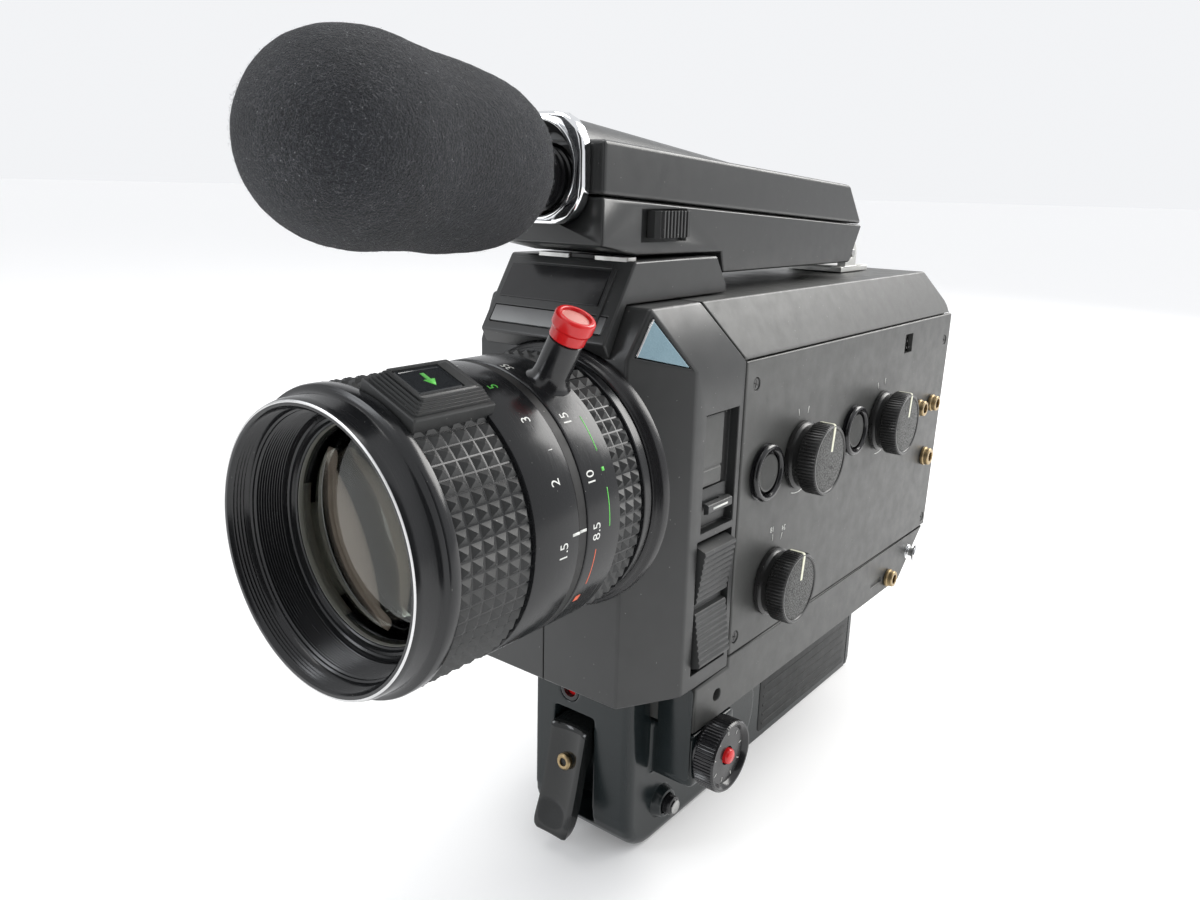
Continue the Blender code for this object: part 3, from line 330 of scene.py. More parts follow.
LOOK = {
    "paint": finish_material("satin_black_paint", (0.024, 0.025, 0.025), 0.36, grain=0.3, depth=0.006, dust=0.8),
    "side": finish_material("satin_side_paint", (0.05, 0.051, 0.049), 0.44, grain=0.3, depth=0.007, dust=0.55),
    "gloss": finish_material("gloss_black", (0.010, 0.010, 0.011), 0.2, depth=0.004, dust=0.6),
    "dusty": finish_material("dusty_recess", (0.012, 0.012, 0.012), 0.6, depth=0.02, dust=1.6),
    "dark": finish_material("deep_black", (0.006, 0.006, 0.006), 0.55, depth=0.01),
    "ring": brushed_ring_material("anodised_ring", (0.011, 0.0115, 0.0125), 0.2, 0.12, 0.2),
    "satin_ring": brushed_ring_material("anodised_satin", (0.012, 0.012, 0.013), 0.25, 0.12, 0.2),
    "knurl": finish_material("knurled_rubber", (0.028, 0.029, 0.029), 0.5, grain=0.25, depth=0.02, dust=0.9),
    "grip": finish_material("grip_plastic", (0.009, 0.013, 0.014), 0.22, grain=0.6, depth=0.002, variety=0.05,
                            smudge=0.03, dust=0.25, specular=0.4),
    "trigger": finish_material("trigger_plastic", (0.008, 0.009, 0.009), 0.12, grain=0.6, depth=0.002, variety=0.05,
                               smudge=0.03, dust=0.2, specular=0.45),
    "grip_panel": finish_material("grip_side_panel", (0.014, 0.015, 0.015), 0.6, grain=0.25, depth=0.05, dust=0.2),
    "switch": finish_material("switch_plastic", (0.03, 0.031, 0.031), 0.42, grain=0.4, depth=0.012, dust=0.7),
    "knob": finish_material("knob_plastic", (0.012, 0.012, 0.012), 0.3, grain=0.4, depth=0.008, dust=0.5),
    "leather": leather_material("knob_face_grain", (0.05, 0.051, 0.049)),
    "foam": foam_material(),
    "fibre": finish_material("foam_fibre", (0.17, 0.175, 0.185), 0.7, variety=0.5, depth=0.01, sheen=0.3),
    "rubber": finish_material("soft_rubber", (0.014, 0.014, 0.014), 0.7, grain=0.4, depth=0.03, dust=0.4, sheen=0.1),
    "chrome": finish_material("chrome", (0.78, 0.79, 0.8), 0.07, 1.0, grain=2.5, depth=0.006, smudge=0.05),
    "bare": finish_material("bare_rim", (0.6, 0.6, 0.6), 0.3, 1.0, grain=0.4, depth=0.02, variety=0.35, smudge=0.15),
    "steel": finish_material("steel", (0.42, 0.42, 0.41), 0.34, 1.0, grain=0.3, depth=0.01, smudge=0.12),
    "screw": finish_material("black_screw", (0.06, 0.06, 0.06), 0.35, 0.8, grain=0.3, depth=0.02),
    "brass": finish_material("aged_brass", (0.36, 0.27, 0.15), 0.38, 1.0, grain=0.5, depth=0.02, variety=0.3),
    "aluminium": finish_material("cast_aluminium", (0.62, 0.62, 0.6), 0.5, 1.0, grain=0.5, depth=0.06, smudge=0.15),
    "red": finish_material("red_plastic", (0.55, 0.012, 0.014), 0.2, grain=0.6, depth=0.006, variety=0.08),
    "pale_red": finish_material("red_cap_disc", (0.62, 0.25, 0.22), 0.3, grain=0.4, depth=0.02, variety=0.2),
    "white": finish_material("white_print", (0.68, 0.69, 0.66), 0.5, variety=0.1, depth=0.01),
    "ivory": finish_material("ivory_pointer", (0.66, 0.66, 0.52), 0.4, variety=0.1, depth=0.01),
    "green": finish_material("green_print", (0.1, 0.55, 0.07), 0.45, variety=0.15, depth=0.01),
    "orange": finish_material("orange_print", (0.72, 0.13, 0.06), 0.45, variety=0.15, depth=0.01),
    "frosted": frosted_material(),
    "strip": strip_material("strip_window"),
    "smoked": finish_material("smoked_window", (0.02, 0.022, 0.024), 0.08, depth=0.002, coat=0.5),
    "glass": glass_material("coated_glass", (0.86, 0.88, 0.86), (0.98, 0.975, 0.96)),
    "eye_glass": glass_material("eye_glass", (0.75, 0.8, 0.95), (0.8, 0.85, 0.95)),
    # The two inner elements glow by emission: painted light, as they are no lamps.
    "element": element_material("inner_element", (0.5, 0.47, 0.43), 0.62),
    "element_edge": element_material("inner_element_edge", (0.17, 0.14, 0.125), 0.5),
    "glass_wall": finish_material("lens_edge_paint", (0.12, 0.12, 0.105), 0.45, grain=3.0, depth=0.004),
}


# ---------------------------------------------------------------- making pieces

def piece(name, mesh, body, look, sharp=38.0, stands_for=None):
    """Links a mesh as a piece that moves with a CAD body and may stand for a CAD node."""
    thing = bpy.data.objects.new(name, mesh)
    bpy.context.scene.collection.objects.link(thing)
    mesh.materials.clear()
    mesh.materials.append(LOOK[look])
    mesh.shade_smooth()
    if sharp is not None:
        mesh.set_sharp_from_angle(angle=math.radians(sharp))
    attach(thing, body)
    if stands_for:
        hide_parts(stands_for)
    return thing


def from_lists(name, points, faces, body, look, weld=True, **more):
    """A piece from points in millimetres and faces."""
    shape = bmesh.new()
    corners = [shape.verts.new(Vector(point) * MM) for point in points]
    for face in faces:
        shape.faces.new([corners[i] for i in face])
    if weld:
        bmesh.ops.remove_doubles(shape, verts=shape.verts, dist=0.0005 * MM)
    bmesh.ops.recalc_face_normals(shape, faces=shape.faces)
    mesh = bpy.data.meshes.new(name)
    shape.to_mesh(mesh)
    shape.free()
    return piece(name, mesh, body, look, **more)


def band(first, second):
    """Faces between two rings of point numbers; a ring of one point is a tip."""
    count = max(len(first), len(second))
    faces = []
    for i in range(count):
        j = (i + 1) % count
        if len(first) == 1 and len(second) == 1:
            break
        if len(first) == 1:
            faces.append((first[0], second[i], second[j]))
        elif len(second) == 1:
            faces.append((first[i], second[0], first[j]))
        else:
            faces.append((first[i], second[i], second[j], first[j]))
    return faces


def lathe(name, body, profile, base, direction, look, segments=96, ribs=None, **more):
    """A turned piece. Profile points are (radius, height) with an optional third value: rib depth."""
    spot = local(base, direction)
    points, rings = [], []
    for radius, height, *rib_depth in profile:
        first = len(points)
        if radius <= 0.0:
            points.append(spot(0, 0, height))
        else:
            for i in range(segments):
                angle = math.tau * i / segments
                cut = rib_depth[0] if ribs and rib_depth and (i * ribs * 2 // segments) % 2 else 0.0
                points.append(spot((radius - cut) * math.cos(angle), (radius - cut) * math.sin(angle), height))
        rings.append(range(first, len(points)))
    if profile[0][0] > 0.0:
        rings.append(rings[0])
    faces = [face for pair in zip(rings, rings[1:]) for face in band(*pair)]
    return from_lists(name, points, faces, body, look, weld=False, **more)


def soften(profile, radius, steps=3):
    """A profile of (radius, height) with its corners rounded."""
    points = [Vector(p) for p in profile]
    count = len(points)
    closed = profile[0][0] > 0.0
    result = []
    for i, here in enumerate(points):
        before, after = points[i - 1], points[(i + 1) % count]
        if not closed and i in (0, count - 1):
            result.append(tuple(here))
        else:
            cut = min(radius, (before - here).length * 0.45, (after - here).length * 0.45)
            result += [tuple(p) for p in cut_corner(before, here, after, cut, steps)]
    return result


def loft(name, body, rings, look, sharp=38.0, capped=True, **more):
    """A skin through closed rings with the same number of points each."""
    points = [point for ring in rings for point in ring]
    count = len(rings[0])
    faces = []
    for first in range(0, len(points) - count, count):
        for i in range(count):
            j = (i + 1) % count
            faces.append((first + i, first + j, first + count + j, first + count + i))
    if capped:
        faces += [tuple(range(count)), tuple(range(len(points) - count, len(points)))]
    return from_lists(name, points, faces, body, look, sharp=sharp, **more)


def extrude(name, body, outline, axis, start, end, look, bevel=0.1, **more):
    """An outline in the two other axes, with its length along one axis and its edges rounded."""
    rings = [[(*p[:axis], along, *p[axis:]) for p in outline] for along in (start, end)]
    thing = loft(name, body, rings, look, None, **more)
    rounding = bevel_edges(thing, bevel, 2, 32.0)
    rounding.harden_normals = True
    rounding.miter_outer = "MITER_ARC"
    return thing


def rounded(half_x, half_y, radius, steps=4, middle=(0.0, 0.0)):
    """A rectangle's outline with round corners."""
    radius = min(radius, half_x, half_y)
    points = []
    for sx, sy, start in ((1, 1, 0), (-1, 1, 90), (-1, -1, 180), (1, -1, 270)):
        for k in range(steps + 1):
            angle = math.radians(start + 90 * k / steps)
            points.append((
                middle[0] + sx * (half_x - radius) + radius * math.cos(angle),
                middle[1] + sy * (half_y - radius) + radius * math.sin(angle),
            ))
    return points


def slab(name, body, outline, low, high, base, direction, look, edge=0.2):
    """A flat outline with thickness and softened upper and lower edges, in a piece's own axes."""
    spot = local(base, direction)
    middle = sum((Vector(p) for p in outline), Vector((0, 0))) / len(outline)

    def ring(height, inset):
        corners = []
        for p in outline:
            towards = Vector(p) - middle
            scale = max(0.0, 1 - inset / max(towards.length, 1e-6))
            q = middle + towards * scale
            corners.append(spot(q.x, q.y, height))
        return corners

    thick = high - low
    edge = min(edge, thick * 0.45)
    rings = [ring(low, edge), ring(low + edge, 0.0), ring(high - edge, 0.0), ring(high - edge * 0.3, edge * 0.3),
             ring(high, edge)]
    return loft(name, body, rings, look)


def bevel_edges(thing, width, segments, angle):
    """A Bevel modifier of a width in millimetres on edges sharper than an angle."""
    rounding = thing.modifiers.new("edges", "BEVEL")
    rounding.width = width * MM
    rounding.segments = segments
    rounding.limit_method = "ANGLE"
    rounding.angle_limit = math.radians(angle)
    rounding.use_clamp_overlap = False
    return rounding


def weld_points(thing):
    """A Weld modifier for the CAD meshes' doubled points."""
    thing.modifiers.new("weld", "WELD").merge_threshold = 0.001 * MM


def on_surface(name, body, text, size, spot, look):
    """Figures or marks drawn flat, then laid on a surface by spot(x, y)."""
    drawn = bpy.data.curves.new(name, "FONT")
    drawn.body = text
    drawn.size = size
    drawn.align_x = "CENTER"
    drawn.align_y = "CENTER"
    drawn.resolution_u = 4
    holder = bpy.data.objects.new(name, drawn)
    bpy.context.scene.collection.objects.link(holder)
    bpy.context.view_layer.update()
    mesh = bpy.data.meshes.new_from_object(holder.evaluated_get(bpy.context.evaluated_depsgraph_get()))
    bpy.data.objects.remove(holder, do_unlink=True)
    for vertex in mesh.vertices:
        vertex.co = Vector(spot(vertex.co.x, vertex.co.y)) * MM
    piece(name, mesh, body, look, None)


def mark(name, body, outline, spot, look, steps=1):
    """A painted patch: an outline cut into strips along its first side, laid on a surface by spot(x, y)."""
    (x0, y0), (x1, y1) = outline
    points, faces = [], []
    for i in range(steps + 1):
        x = x0 + (x1 - x0) * i / steps
        points += [spot(x, y0), spot(x, y1)]
    for i in range(steps):
        faces.append((2 * i, 2 * i + 2, 2 * i + 3, 2 * i + 1))
    thing = from_lists(name, points, faces, body, look, sharp=None)
    thing.modifiers.new("thickness", "SOLIDIFY").thickness = 0.03 * MM


def clean(mesh):
    """Clears imported normals and sharp marks, and shades the mesh smooth."""
    for name in ("custom_normal", "sharp_face", "sharp_edge"):
        if name in mesh.attributes:
            mesh.attributes.remove(mesh.attributes[name])
    mesh.shade_smooth()


def keep(node, look, bevel=0.25, segments=2):
    """Keeps a CAD node, with its own procedural material and slightly rounded edges."""
    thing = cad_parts[node]
    thing.data.materials.clear()
    thing.data.materials.append(LOOK[look])
    clean(thing.data)
    weld_points(thing)
    if bevel:
        bevel_edges(thing, bevel, segments, 38.0)
    thing.modifiers.new("normals", "WEIGHTED_NORMAL").mode = "FACE_AREA"


def moulded(name, node, body, look, voxel=0.5, passes=10):
    """A copy of a CAD node with every corner softened, as moulded plastic has."""
    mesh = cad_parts[node].data.copy()
    clean(mesh)
    thing = piece(name, mesh, body, look, None, node)
    weld_points(thing)
    skin = thing.modifiers.new("skin", "REMESH")
    skin.mode = "VOXEL"
    skin.voxel_size = voxel * MM
    skin.use_smooth_shade = True
    soft = thing.modifiers.new("soft", "SMOOTH")
    soft.factor = 0.5
    soft.iterations = passes


# ---------------------------------------------------------------- camera, light and floor

# The camera's place in millimetres, its angles in degrees and its field, found by calibrating the photograph.
CAMERA_PLACE = Vector((159.0, -232.3, 189.3))
AZIMUTH, ELEVATION, ROLL = 37.78, 15.09, 1.49
SENSOR_WIDTH, FOCAL_LENGTH = 36.0, 29.0793
WORLD_STRENGTH = 0.92
FLOOR_HALF = 40.0
# A black card beside the camera keeps the glossy faces that look that way dark: size, bearing and distance.
CARD_HALF_WIDTH, CARD_HEIGHT, CARD_BEARING, CARD_DISTANCE = 0.2, 0.5, math.radians(54.0), 0.36


def staged(name, corners, material):
    """A flat sheet of the studio, in metres, which isn't part of the object."""
    mesh = bpy.data.meshes.new(name)
    mesh.from_pydata(corners, [], [(0, 1, 2, 3)])
    mesh.materials.append(material)
    sheet = bpy.data.objects.new(name, mesh)
    bpy.context.scene.collection.objects.link(sheet)
    return sheet


def studio():
    """The camera at the calibrated view, a pale floor and soft lights."""
    azimuth, elevation, roll = math.radians(AZIMUTH), math.radians(ELEVATION), math.radians(ROLL)
    ahead = Vector((
        -math.sin(azimuth) * math.cos(elevation), math.cos(azimuth) * math.cos(elevation), -math.sin(elevation),
    ))
    right = Vector((math.cos(azimuth), math.sin(azimuth), 0))
    up = right.cross(ahead)
    turn = Matrix((
        right * math.cos(roll) + up * math.sin(roll), up * math.cos(roll) - right * math.sin(roll), -ahead,
    )).transposed().to_4x4()
    lens = bpy.data.cameras.new("camera")
    lens.sensor_width = SENSOR_WIDTH
    lens.lens = FOCAL_LENGTH
    lens.clip_start = 0.01
    camera = bpy.data.objects.new("camera", lens)
    camera.matrix_world = Matrix.Translation(CAMERA_PLACE * MM) @ turn
    bpy.context.scene.collection.objects.link(camera)
    bpy.context.scene.camera = camera

    nodes = Nodes("pale_floor")
    tone = nodes.mix(nodes.noise(90.0, 2.0), (0.88, 0.88, 0.88), (0.91, 0.91, 0.91))
    half = FLOOR_HALF
    floor = staged("floor", [(-half, -half, 0), (half, -half, 0), (half, half, 0), (-half, half, 0)], nodes.set(
        colour=tone, rough=0.8, specular=0.2, emission=(1.0, 1.0, 1.0), glow=0.12,
    ))
    floor.location.z = -0.2 * MM

    half = CARD_HALF_WIDTH
    card = staged("black_card", [(-half, 0, 0), (half, 0, 0), (half, 0, CARD_HEIGHT), (-half, 0, CARD_HEIGHT)],
                  finish_material("black_card", (0.01, 0.01, 0.01), 0.9))
    card.location = (CARD_DISTANCE * math.sin(CARD_BEARING), -CARD_DISTANCE * math.cos(CARD_BEARING), 0.0)
    card.rotation_euler.z = CARD_BEARING
    card.visible_camera = card.visible_shadow = card.visible_diffuse = False

    bpy.context.scene.view_settings.view_transform = "Standard"
    world = bpy.data.worlds.new("studio")
    bpy.context.scene.world = world
    world.use_nodes = True
    world.node_tree.nodes["Background"].inputs["Color"].default_value = (0.97, 0.98, 1.0, 1.0)
    world.node_tree.nodes["Background"].inputs["Strength"].default_value = WORLD_STRENGTH
    aim = Vector((0.0, 0.0, 0.1))
    for name, place, size, power, colour in (
        ("back_softbox", (0.38, 1.05, 0.85), (0.9, 0.7), 16.0, (1.0, 0.985, 0.96)),
        ("top_softbox", (-0.2, -0.05, 0.95), (0.5, 0.5), 3.0, (1.0, 0.99, 0.97)),
        ("front_fill", (-0.55, -0.8, 0.5), (0.25, 0.5), 2.0, (0.93, 0.96, 1.0)),
    ):
        light = bpy.data.lights.new(name, "AREA")
        light.shape = "RECTANGLE"
        light.size, light.size_y = size
        light.energy = power
        light.color = colour
        lamp = bpy.data.objects.new(name, light)
        lamp.location = place
        lamp.rotation_euler = (aim - Vector(place)).to_track_quat("-Z", "Y").to_euler()
        bpy.context.scene.collection.objects.link(lamp)


# ---------------------------------------------------------------- lens

LENS = centre("focus_ring")
LENS.y = ends("focus_ring")[0].y
FORWARD = (0, 1, 0)
RIM = 33.2


def round_lens(radius, angle, y):
    """A point round the lens axis: angle in degrees from +X towards +Z, y back from the front rim."""
    turn = math.radians(angle)
    return LENS + Vector((radius * math.cos(turn), y, radius * math.sin(turn)))


def lens_spot(angle, y, radius=RIM + 0.03):
    """Lays flat drawings on the lens barrel: reading upwards round it, with their tops to the front."""
    return lambda u, v: round_lens(radius, angle + math.degrees(u / radius), y - v)


def studs(name, body, y_start, y_end, columns, around, low, high):
    """Rows of square pyramid studs round a ring."""
    points, faces = [], []
    pitch = (y_end - y_start) / columns
    turn = 360.0 / around
    for i in range(around):
        for k in range(columns):
            a, y = i * turn, y_start + k * pitch
            ring = []
            for level, inset in ((low, 0.015), (high - 0.1, 0.41), (high, 0.47)):
                for da, dy in ((inset, inset), (1 - inset, inset), (1 - inset, 1 - inset), (inset, 1 - inset)):
                    ring.append(round_lens(level, a + da * turn, y + dy * pitch))
            first = len(points)
            points += ring
            for level in range(2):
                for c in range(4):
                    d = (c + 1) % 4
                    s = first + level * 4
                    faces.append((s + c, s + d, s + 4 + d, s + 4 + c))
            faces.append(tuple(range(first + 8, first + 12)))
    from_lists(name, points, faces, body, "knurl", weld=False, sharp=20.0)


def focus_ring():
    """The focus ring with its rim, filter thread, light baffle, studs and distance scale."""
    thread = []
    for i in range(5):
        y = 0.7 + i * 0.8
        thread += [(29.35, y), (28.95, y + 0.4)]
    baffle = []
    for i in range(11):
        y = 5.7 + i * 0.62
        baffle += [(28.25 - i * 0.03, y), (27.75 - i * 0.03, y + 0.31)]
    outer = [
        (27.3, 43.7), (32.9, 43.7), (33.2, 43.4), (33.2, 30.0), (33.05, 29.75), (32.2, 29.6), (32.2, 9.4),
        (33.05, 9.25), (33.2, 9.0), (33.2, 6.8), (33.0, 6.4), (32.3, 6.15), (31.7, 5.75), (31.35, 5.1), (31.3, 1.6),
        (31.05, 0.6), (30.8, 0.15), (30.4, 0.0), (29.7, 0.1), (29.45, 0.4),
    ]
    lathe("focus_ring_body", "focus_group", outer + thread + [(28.7, 5.0), (28.3, 5.3)] + baffle + [(27.3, 12.7)],
          LENS, FORWARD, "ring", 160, sharp=32, stands_for="focus_ring")
    lathe("rim_edge", "focus_group", [
        (30.86, 0.16), (30.62, -0.0), (30.38, 0.0), (30.2, 0.04), (30.4, 0.14),
    ], LENS, FORWARD, "bare", 160)
    studs("focus_studs", "focus_group", 9.5, 29.55, 6, 63, 32.1, 33.2)
    for text, angle, y, size, look in (
        ("5", 66.0, 37.7, 3.6, "green"), ("3", 47.6, 38.3, 3.6, "white"), ("2", 22.1, 38.4, 3.6, "white"),
        ("1.5", -4.0, 38.7, 3.6, "white"), ("10", 88.0, 37.6, 3.4, "white"), ("20", 108.0, 37.6, 3.4, "white"),
    ):
        on_surface(f"distance_{text}", "focus_group", text, size, lens_spot(angle, y), look)
    mark("distance_tick", "focus_group", ((-0.1, -0.6), (0.1, 0.6)), lens_spot(34.0, 40.2), "white")


def front_group():
    """The front cell, the coated glass and the elements behind it."""
    cell = [(27.25, 21.3), (27.25, 13.2), (26.6, 13.0), (26.2, 13.35), (25.9, 13.05), (25.3, 13.2), (24.9, 13.9),
            (24.5, 14.1), (24.4, 18.2), (24.2, 21.3)]
    lathe("front_cell", "focus_group", cell, LENS, FORWARD, "ring", 128, sharp=25, stands_for="front_lens_cell")
    lathe("cell_wall", "focus_group", [
        (24.38, 14.3), (24.38, 18.0), (23.9, 18.2), (23.85, 17.9), (24.2, 17.7), (24.25, 14.4),
    ], LENS, FORWARD, "glass_wall", 128)
    dome = [(0.0, 17.3), (24.0, 17.3), (24.15, 15.2)]
    for i in range(1, 15):
        r = 24.0 * (1 - i / 14)
        dome.append((r, 12.3 + (r / 24.0) ** 2 * 2.4))
    lathe("front_glass", "focus_group", dome, LENS, FORWARD, "glass", 128, stands_for="front_element")
    zone = [(24.1, 19.2), (24.1, 18.1), (23.5, 18.15), (23.35, 18.35), (23.1, 18.2)]
    for i in range(9):
        r = 23.0 - 7.0 * i / 8
        zone.append((r, 18.2 + 1.7 * math.sin(math.pi / 2 * i / 8)))
    lathe("middle_element", "focus_group", zone + [(16.0, 20.9), (24.1, 20.9)], LENS, FORWARD, "element_edge", 128)
    bowl = [(0.0, 21.6), (16.0, 21.6), (16.0, 19.95)]
    for i in range(1, 11):
        r = 16.0 * (1 - i / 10)
        bowl.append((r, 19.95 - (1 - (r / 16.0) ** 2) * 1.3))
    lathe("inner_element", "focus_group", bowl, LENS, FORWARD, "element", 128)


def focus_lock():
    """The stepped housing on the focus ring, with a button and a small arrow in its window."""
    button = centre("focus_lock_button") - LENS
    angle = math.degrees(math.atan2(button.z, button.x))
    out = Vector((math.cos(math.radians(angle)), 0, math.sin(math.radians(angle))))
    side = out.cross(Vector((0, 1, 0)))
    front, rear = 9.6, 31.4

    def ring(level, half, y0, y1, radius=0.5):
        """A rounded rectangle at a distance out from the lens axis."""
        corners = rounded(half, (y1 - y0) / 2, radius, 3)
        return [LENS + out * level + side * x + Vector((0, (y0 + y1) / 2 + y, 0)) for x, y in corners]

    rings = [ring(30.5, 8.2, front, rear), ring(34.2, 8.2, front, rear), ring(34.5, 8.0, front + 0.2, rear - 0.2),
             ring(34.55, 7.3, front + 0.9, rear - 0.7)]
    level, half, y0, y1 = 34.55, 7.2, front + 1.0, rear - 0.8
    for _ in range(5):
        rings += [ring(level, half, y0, y1), ring(level + 0.5, half, y0, y1)]
        level, half, y0, y1 = level + 0.56, half - 0.36, y0 + 0.55, y1 - 0.42
        rings.append(ring(level - 0.06, half + 0.06, y0 - 0.1, y1 + 0.1))
    window_y0, window_y1 = 13.0, 25.0
    rings += [ring(37.4, 5.2, 12.3, 27.6), ring(37.55, 5.0, 12.5, 27.4), ring(37.55, 4.4, window_y0, window_y1, 0.4),
              ring(36.8, 4.3, window_y0, window_y1, 0.3)]
    loft("lock_housing", "focus_group", rings, "switch", 28, stands_for="focus_lock_housing")
    loft("lock_button", "focus_lock", [
        ring(36.5, 4.15, 13.2, 24.8, 0.4), ring(37.3, 4.15, 13.2, 24.8, 0.4), ring(37.55, 3.95, 13.4, 24.6, 0.4),
        ring(37.55, 3.4, 13.9, 24.1, 0.3), ring(37.45, 3.3, 14.0, 24.0, 0.3),
    ], "smoked", 28, stands_for="focus_lock_button")
    middle = LENS + out * 37.5 + Vector((0, 19.0, 0))
    shaft = [(-2.2, -0.5), (0.1, -0.5), (0.1, -1.5), (2.4, 0.0), (0.1, 1.5), (0.1, 0.5), (-2.2, 0.5)]
    arrow = [middle - side * x + Vector((0, y, 0)) for x, y in shaft]
    loft("lock_arrow", "focus_lock", [arrow, [p - out * 0.05 for p in arrow]], "green", None)


def zoom_ring():
    """The zoom ring with its figures and studs, the lever and the red cap."""
    profile = [
        (27.3, 46.5), (32.7, 46.5), (33.1, 46.7), (33.2, 47.1), (33.2, 57.8), (33.05, 58.0), (32.2, 58.1),
        (32.2, 67.4), (33.0, 67.5), (33.1, 67.8), (32.5, 68.1), (32.5, 70.8), (31.0, 70.8), (31.0, 60.0),
        (27.3, 60.0),
    ]
    lathe("zoom_ring_body", "zoom_group", profile, LENS, FORWARD, "ring", 160, sharp=32, stands_for="zoom_ring")
    studs("zoom_studs", "zoom_group", 58.1, 67.4, 3, 63, 32.1, 33.15)
    for text, angle, size in (("35", 77.2, 3.1), ("15", 44.0, 3.5), ("10", 19.8, 3.5), ("8.5", -0.9, 3.5)):
        on_surface(f"focal_{text}", "zoom_group", text, size, lens_spot(angle, 49.6 if size > 3.2 else 48.6), "white")
    for name, start, end, look, y in (
        ("green_upper", 28.8, 43.5, "green", 54.0), ("green_lower", -0.8, 14.5, "green", 54.0),
        ("orange", -24.3, -8.3, "orange", 49.7),
    ):
        half = math.radians(end - start) * RIM / 2
        mark(f"scale_{name}", "zoom_group", ((-half, -0.13), (half, 0.13)), lens_spot((start + end) / 2, y), look, 14)
    mark("scale_dot", "zoom_group", ((-0.45, -0.45), (0.45, 0.45)), lens_spot(21.6, 54.0), "green")
    mark("scale_macro", "zoom_group", ((-0.9, -0.8), (0.9, 0.8)), lens_spot(-31.5, 48.9), "orange", 3)

    out = centre("zoom_lever_cap") - LENS
    out.y = 0.0
    start = LENS + Vector((0, centre("zoom_lever").y - LENS.y, 0))
    lathe("lever_rod", "zoom_group", [
        (0.0, 44.2), (3.6, 44.2), (3.95, 43.9), (4.0, 43.2), (4.15, 36.0), (4.4, 34.2), (5.0, 33.3), (5.4, 32.9),
        (5.4, 32.0), (0.0, 32.0),
    ], start, out, "gloss", 64, stands_for="zoom_lever")
    lathe("lever_cap", "zoom_group", soften([
        (0.0, 49.5), (3.3, 49.5), (3.45, 50.3), (4.3, 50.3), (4.75, 49.8), (4.75, 47.3), (4.25, 46.9), (4.2, 44.4),
        (0.0, 44.4),
    ], 0.22), start, out, "red", 64, stands_for="zoom_lever_cap")
    lathe("lever_cap_disc", "zoom_group", [
        (0.0, 49.75), (2.6, 49.72), (3.2, 49.6), (3.3, 49.45), (0.0, 49.4),
    ], start, out, "pale_red", 48)


def lens_mount():
    """The collar on the body, the barrel in the gaps and the index mark."""
    lathe("collar", "chassis", [
        (34.4, 75.7), (34.4, 73.6), (34.1, 73.0), (33.5, 72.6), (33.2, 72.1), (32.9, 71.6), (32.3, 71.4),
        (22.9, 71.4), (22.9, 75.7),
    ], LENS, FORWARD, "satin_ring", 160, sharp=45, stands_for="lens_collar")
    keep("lens_barrel", "dark", 0.2)
    lathe("index_ring", "chassis", [
        (32.85, 46.35), (32.85, 43.9), (27.1, 43.9), (27.1, 46.35),
    ], LENS, FORWARD, "dusty", 128)
    mark("index_mark", "chassis", ((-0.33, -1.15), (0.33, 1.15)), lens_spot(1.2, 45.1, 32.92), "white")
    mark("index_tail", "focus_group", ((-0.33, -1.15), (0.33, 1.15)), lens_spot(1.2, 42.45), "white")


# ---------------------------------------------------------------- controls on the side

SIDE = (1, 0, 0)
SIDE_X = ends("side_panel")[1].x
KNOB_TILT = math.radians(8.0)
SCREW_RADIUS = 1.7


def knob(node, body):
    """A selector knob: skirt, groove, ribbed edge, grained face and a folded pointer."""
    base = foot(node)
    rib = 0.28
    lathe(f"{node}_body", body, [
        (0.0, 9.2), (9.3, 9.2), (9.6, 9.6), (10.1, 9.7), (10.55, 9.45, rib * 0.4), (10.8, 8.9, rib), (10.8, 4.5, rib),
        (10.5, 4.1, rib * 0.4), (9.7, 3.7), (9.5, 3.2), (9.5, 1.9), (9.8, 1.5), (10.4, 1.2), (10.4, 0.2), (10.2, 0.0),
        (0.0, 0.0),
    ], base, SIDE, "knob", 264, ribs=66, sharp=30, stands_for=node)
    lathe(f"{node}_face", body, [
        (0.0, 9.66), (6.0, 9.62), (9.0, 9.5), (9.35, 9.4), (9.35, 9.15), (0.0, 9.15),
    ], base, SIDE, "leather", 96)
    spot = local(base, SIDE)
    turn = Matrix.Rotation(KNOB_TILT, 2)

    def at(x, y, z):
        p = turn @ Vector((x, y))
        return spot(p.x, p.y, z)

    half = 0.62
    rings = []
    for y, z, deep in ((2.4, 9.62, 0.25), (2.8, 9.68, 0.3), (9.9, 9.7, 0.4), (10.6, 9.5, 0.5), (10.88, 9.0, 0.5)):
        back = y - deep * 0.5
        rings.append([at(-half, y, z), at(half, y, z), at(half, back, z - deep), at(-half, back, z - deep)])
    rings.append([at(-half, 10.88, 4.9), at(half, 10.88, 4.9), at(half, 10.3, 4.9), at(-half, 10.3, 4.9)])
    loft(f"{node}_pointer", body, rings, "ivory", 40)


def knob_marks(name, angles, start, end):
    """Ticks and a short arc printed on the panel round a knob."""
    middle = centre(name)
    spot = local((SIDE_X + 0.02, middle.y, middle.z), SIDE)
    for angle in angles:
        lay = radial(spot, angle, 12.6, 0.02)
        mark(f"{name}_tick_{int(angle)}", "chassis", ((0.0, -0.14), (2.2, 0.14)), lay, "white")

    def bend(u, v):
        turn = math.radians(start + (end - start) * u)
        return spot((11.9 + v) * math.cos(turn), (11.9 + v) * math.sin(turn), 0.02)

    mark(f"{name}_arc_{int(start)}", "chassis", ((0.0, -0.16), (1.0, 0.16)), bend, "white", 16)


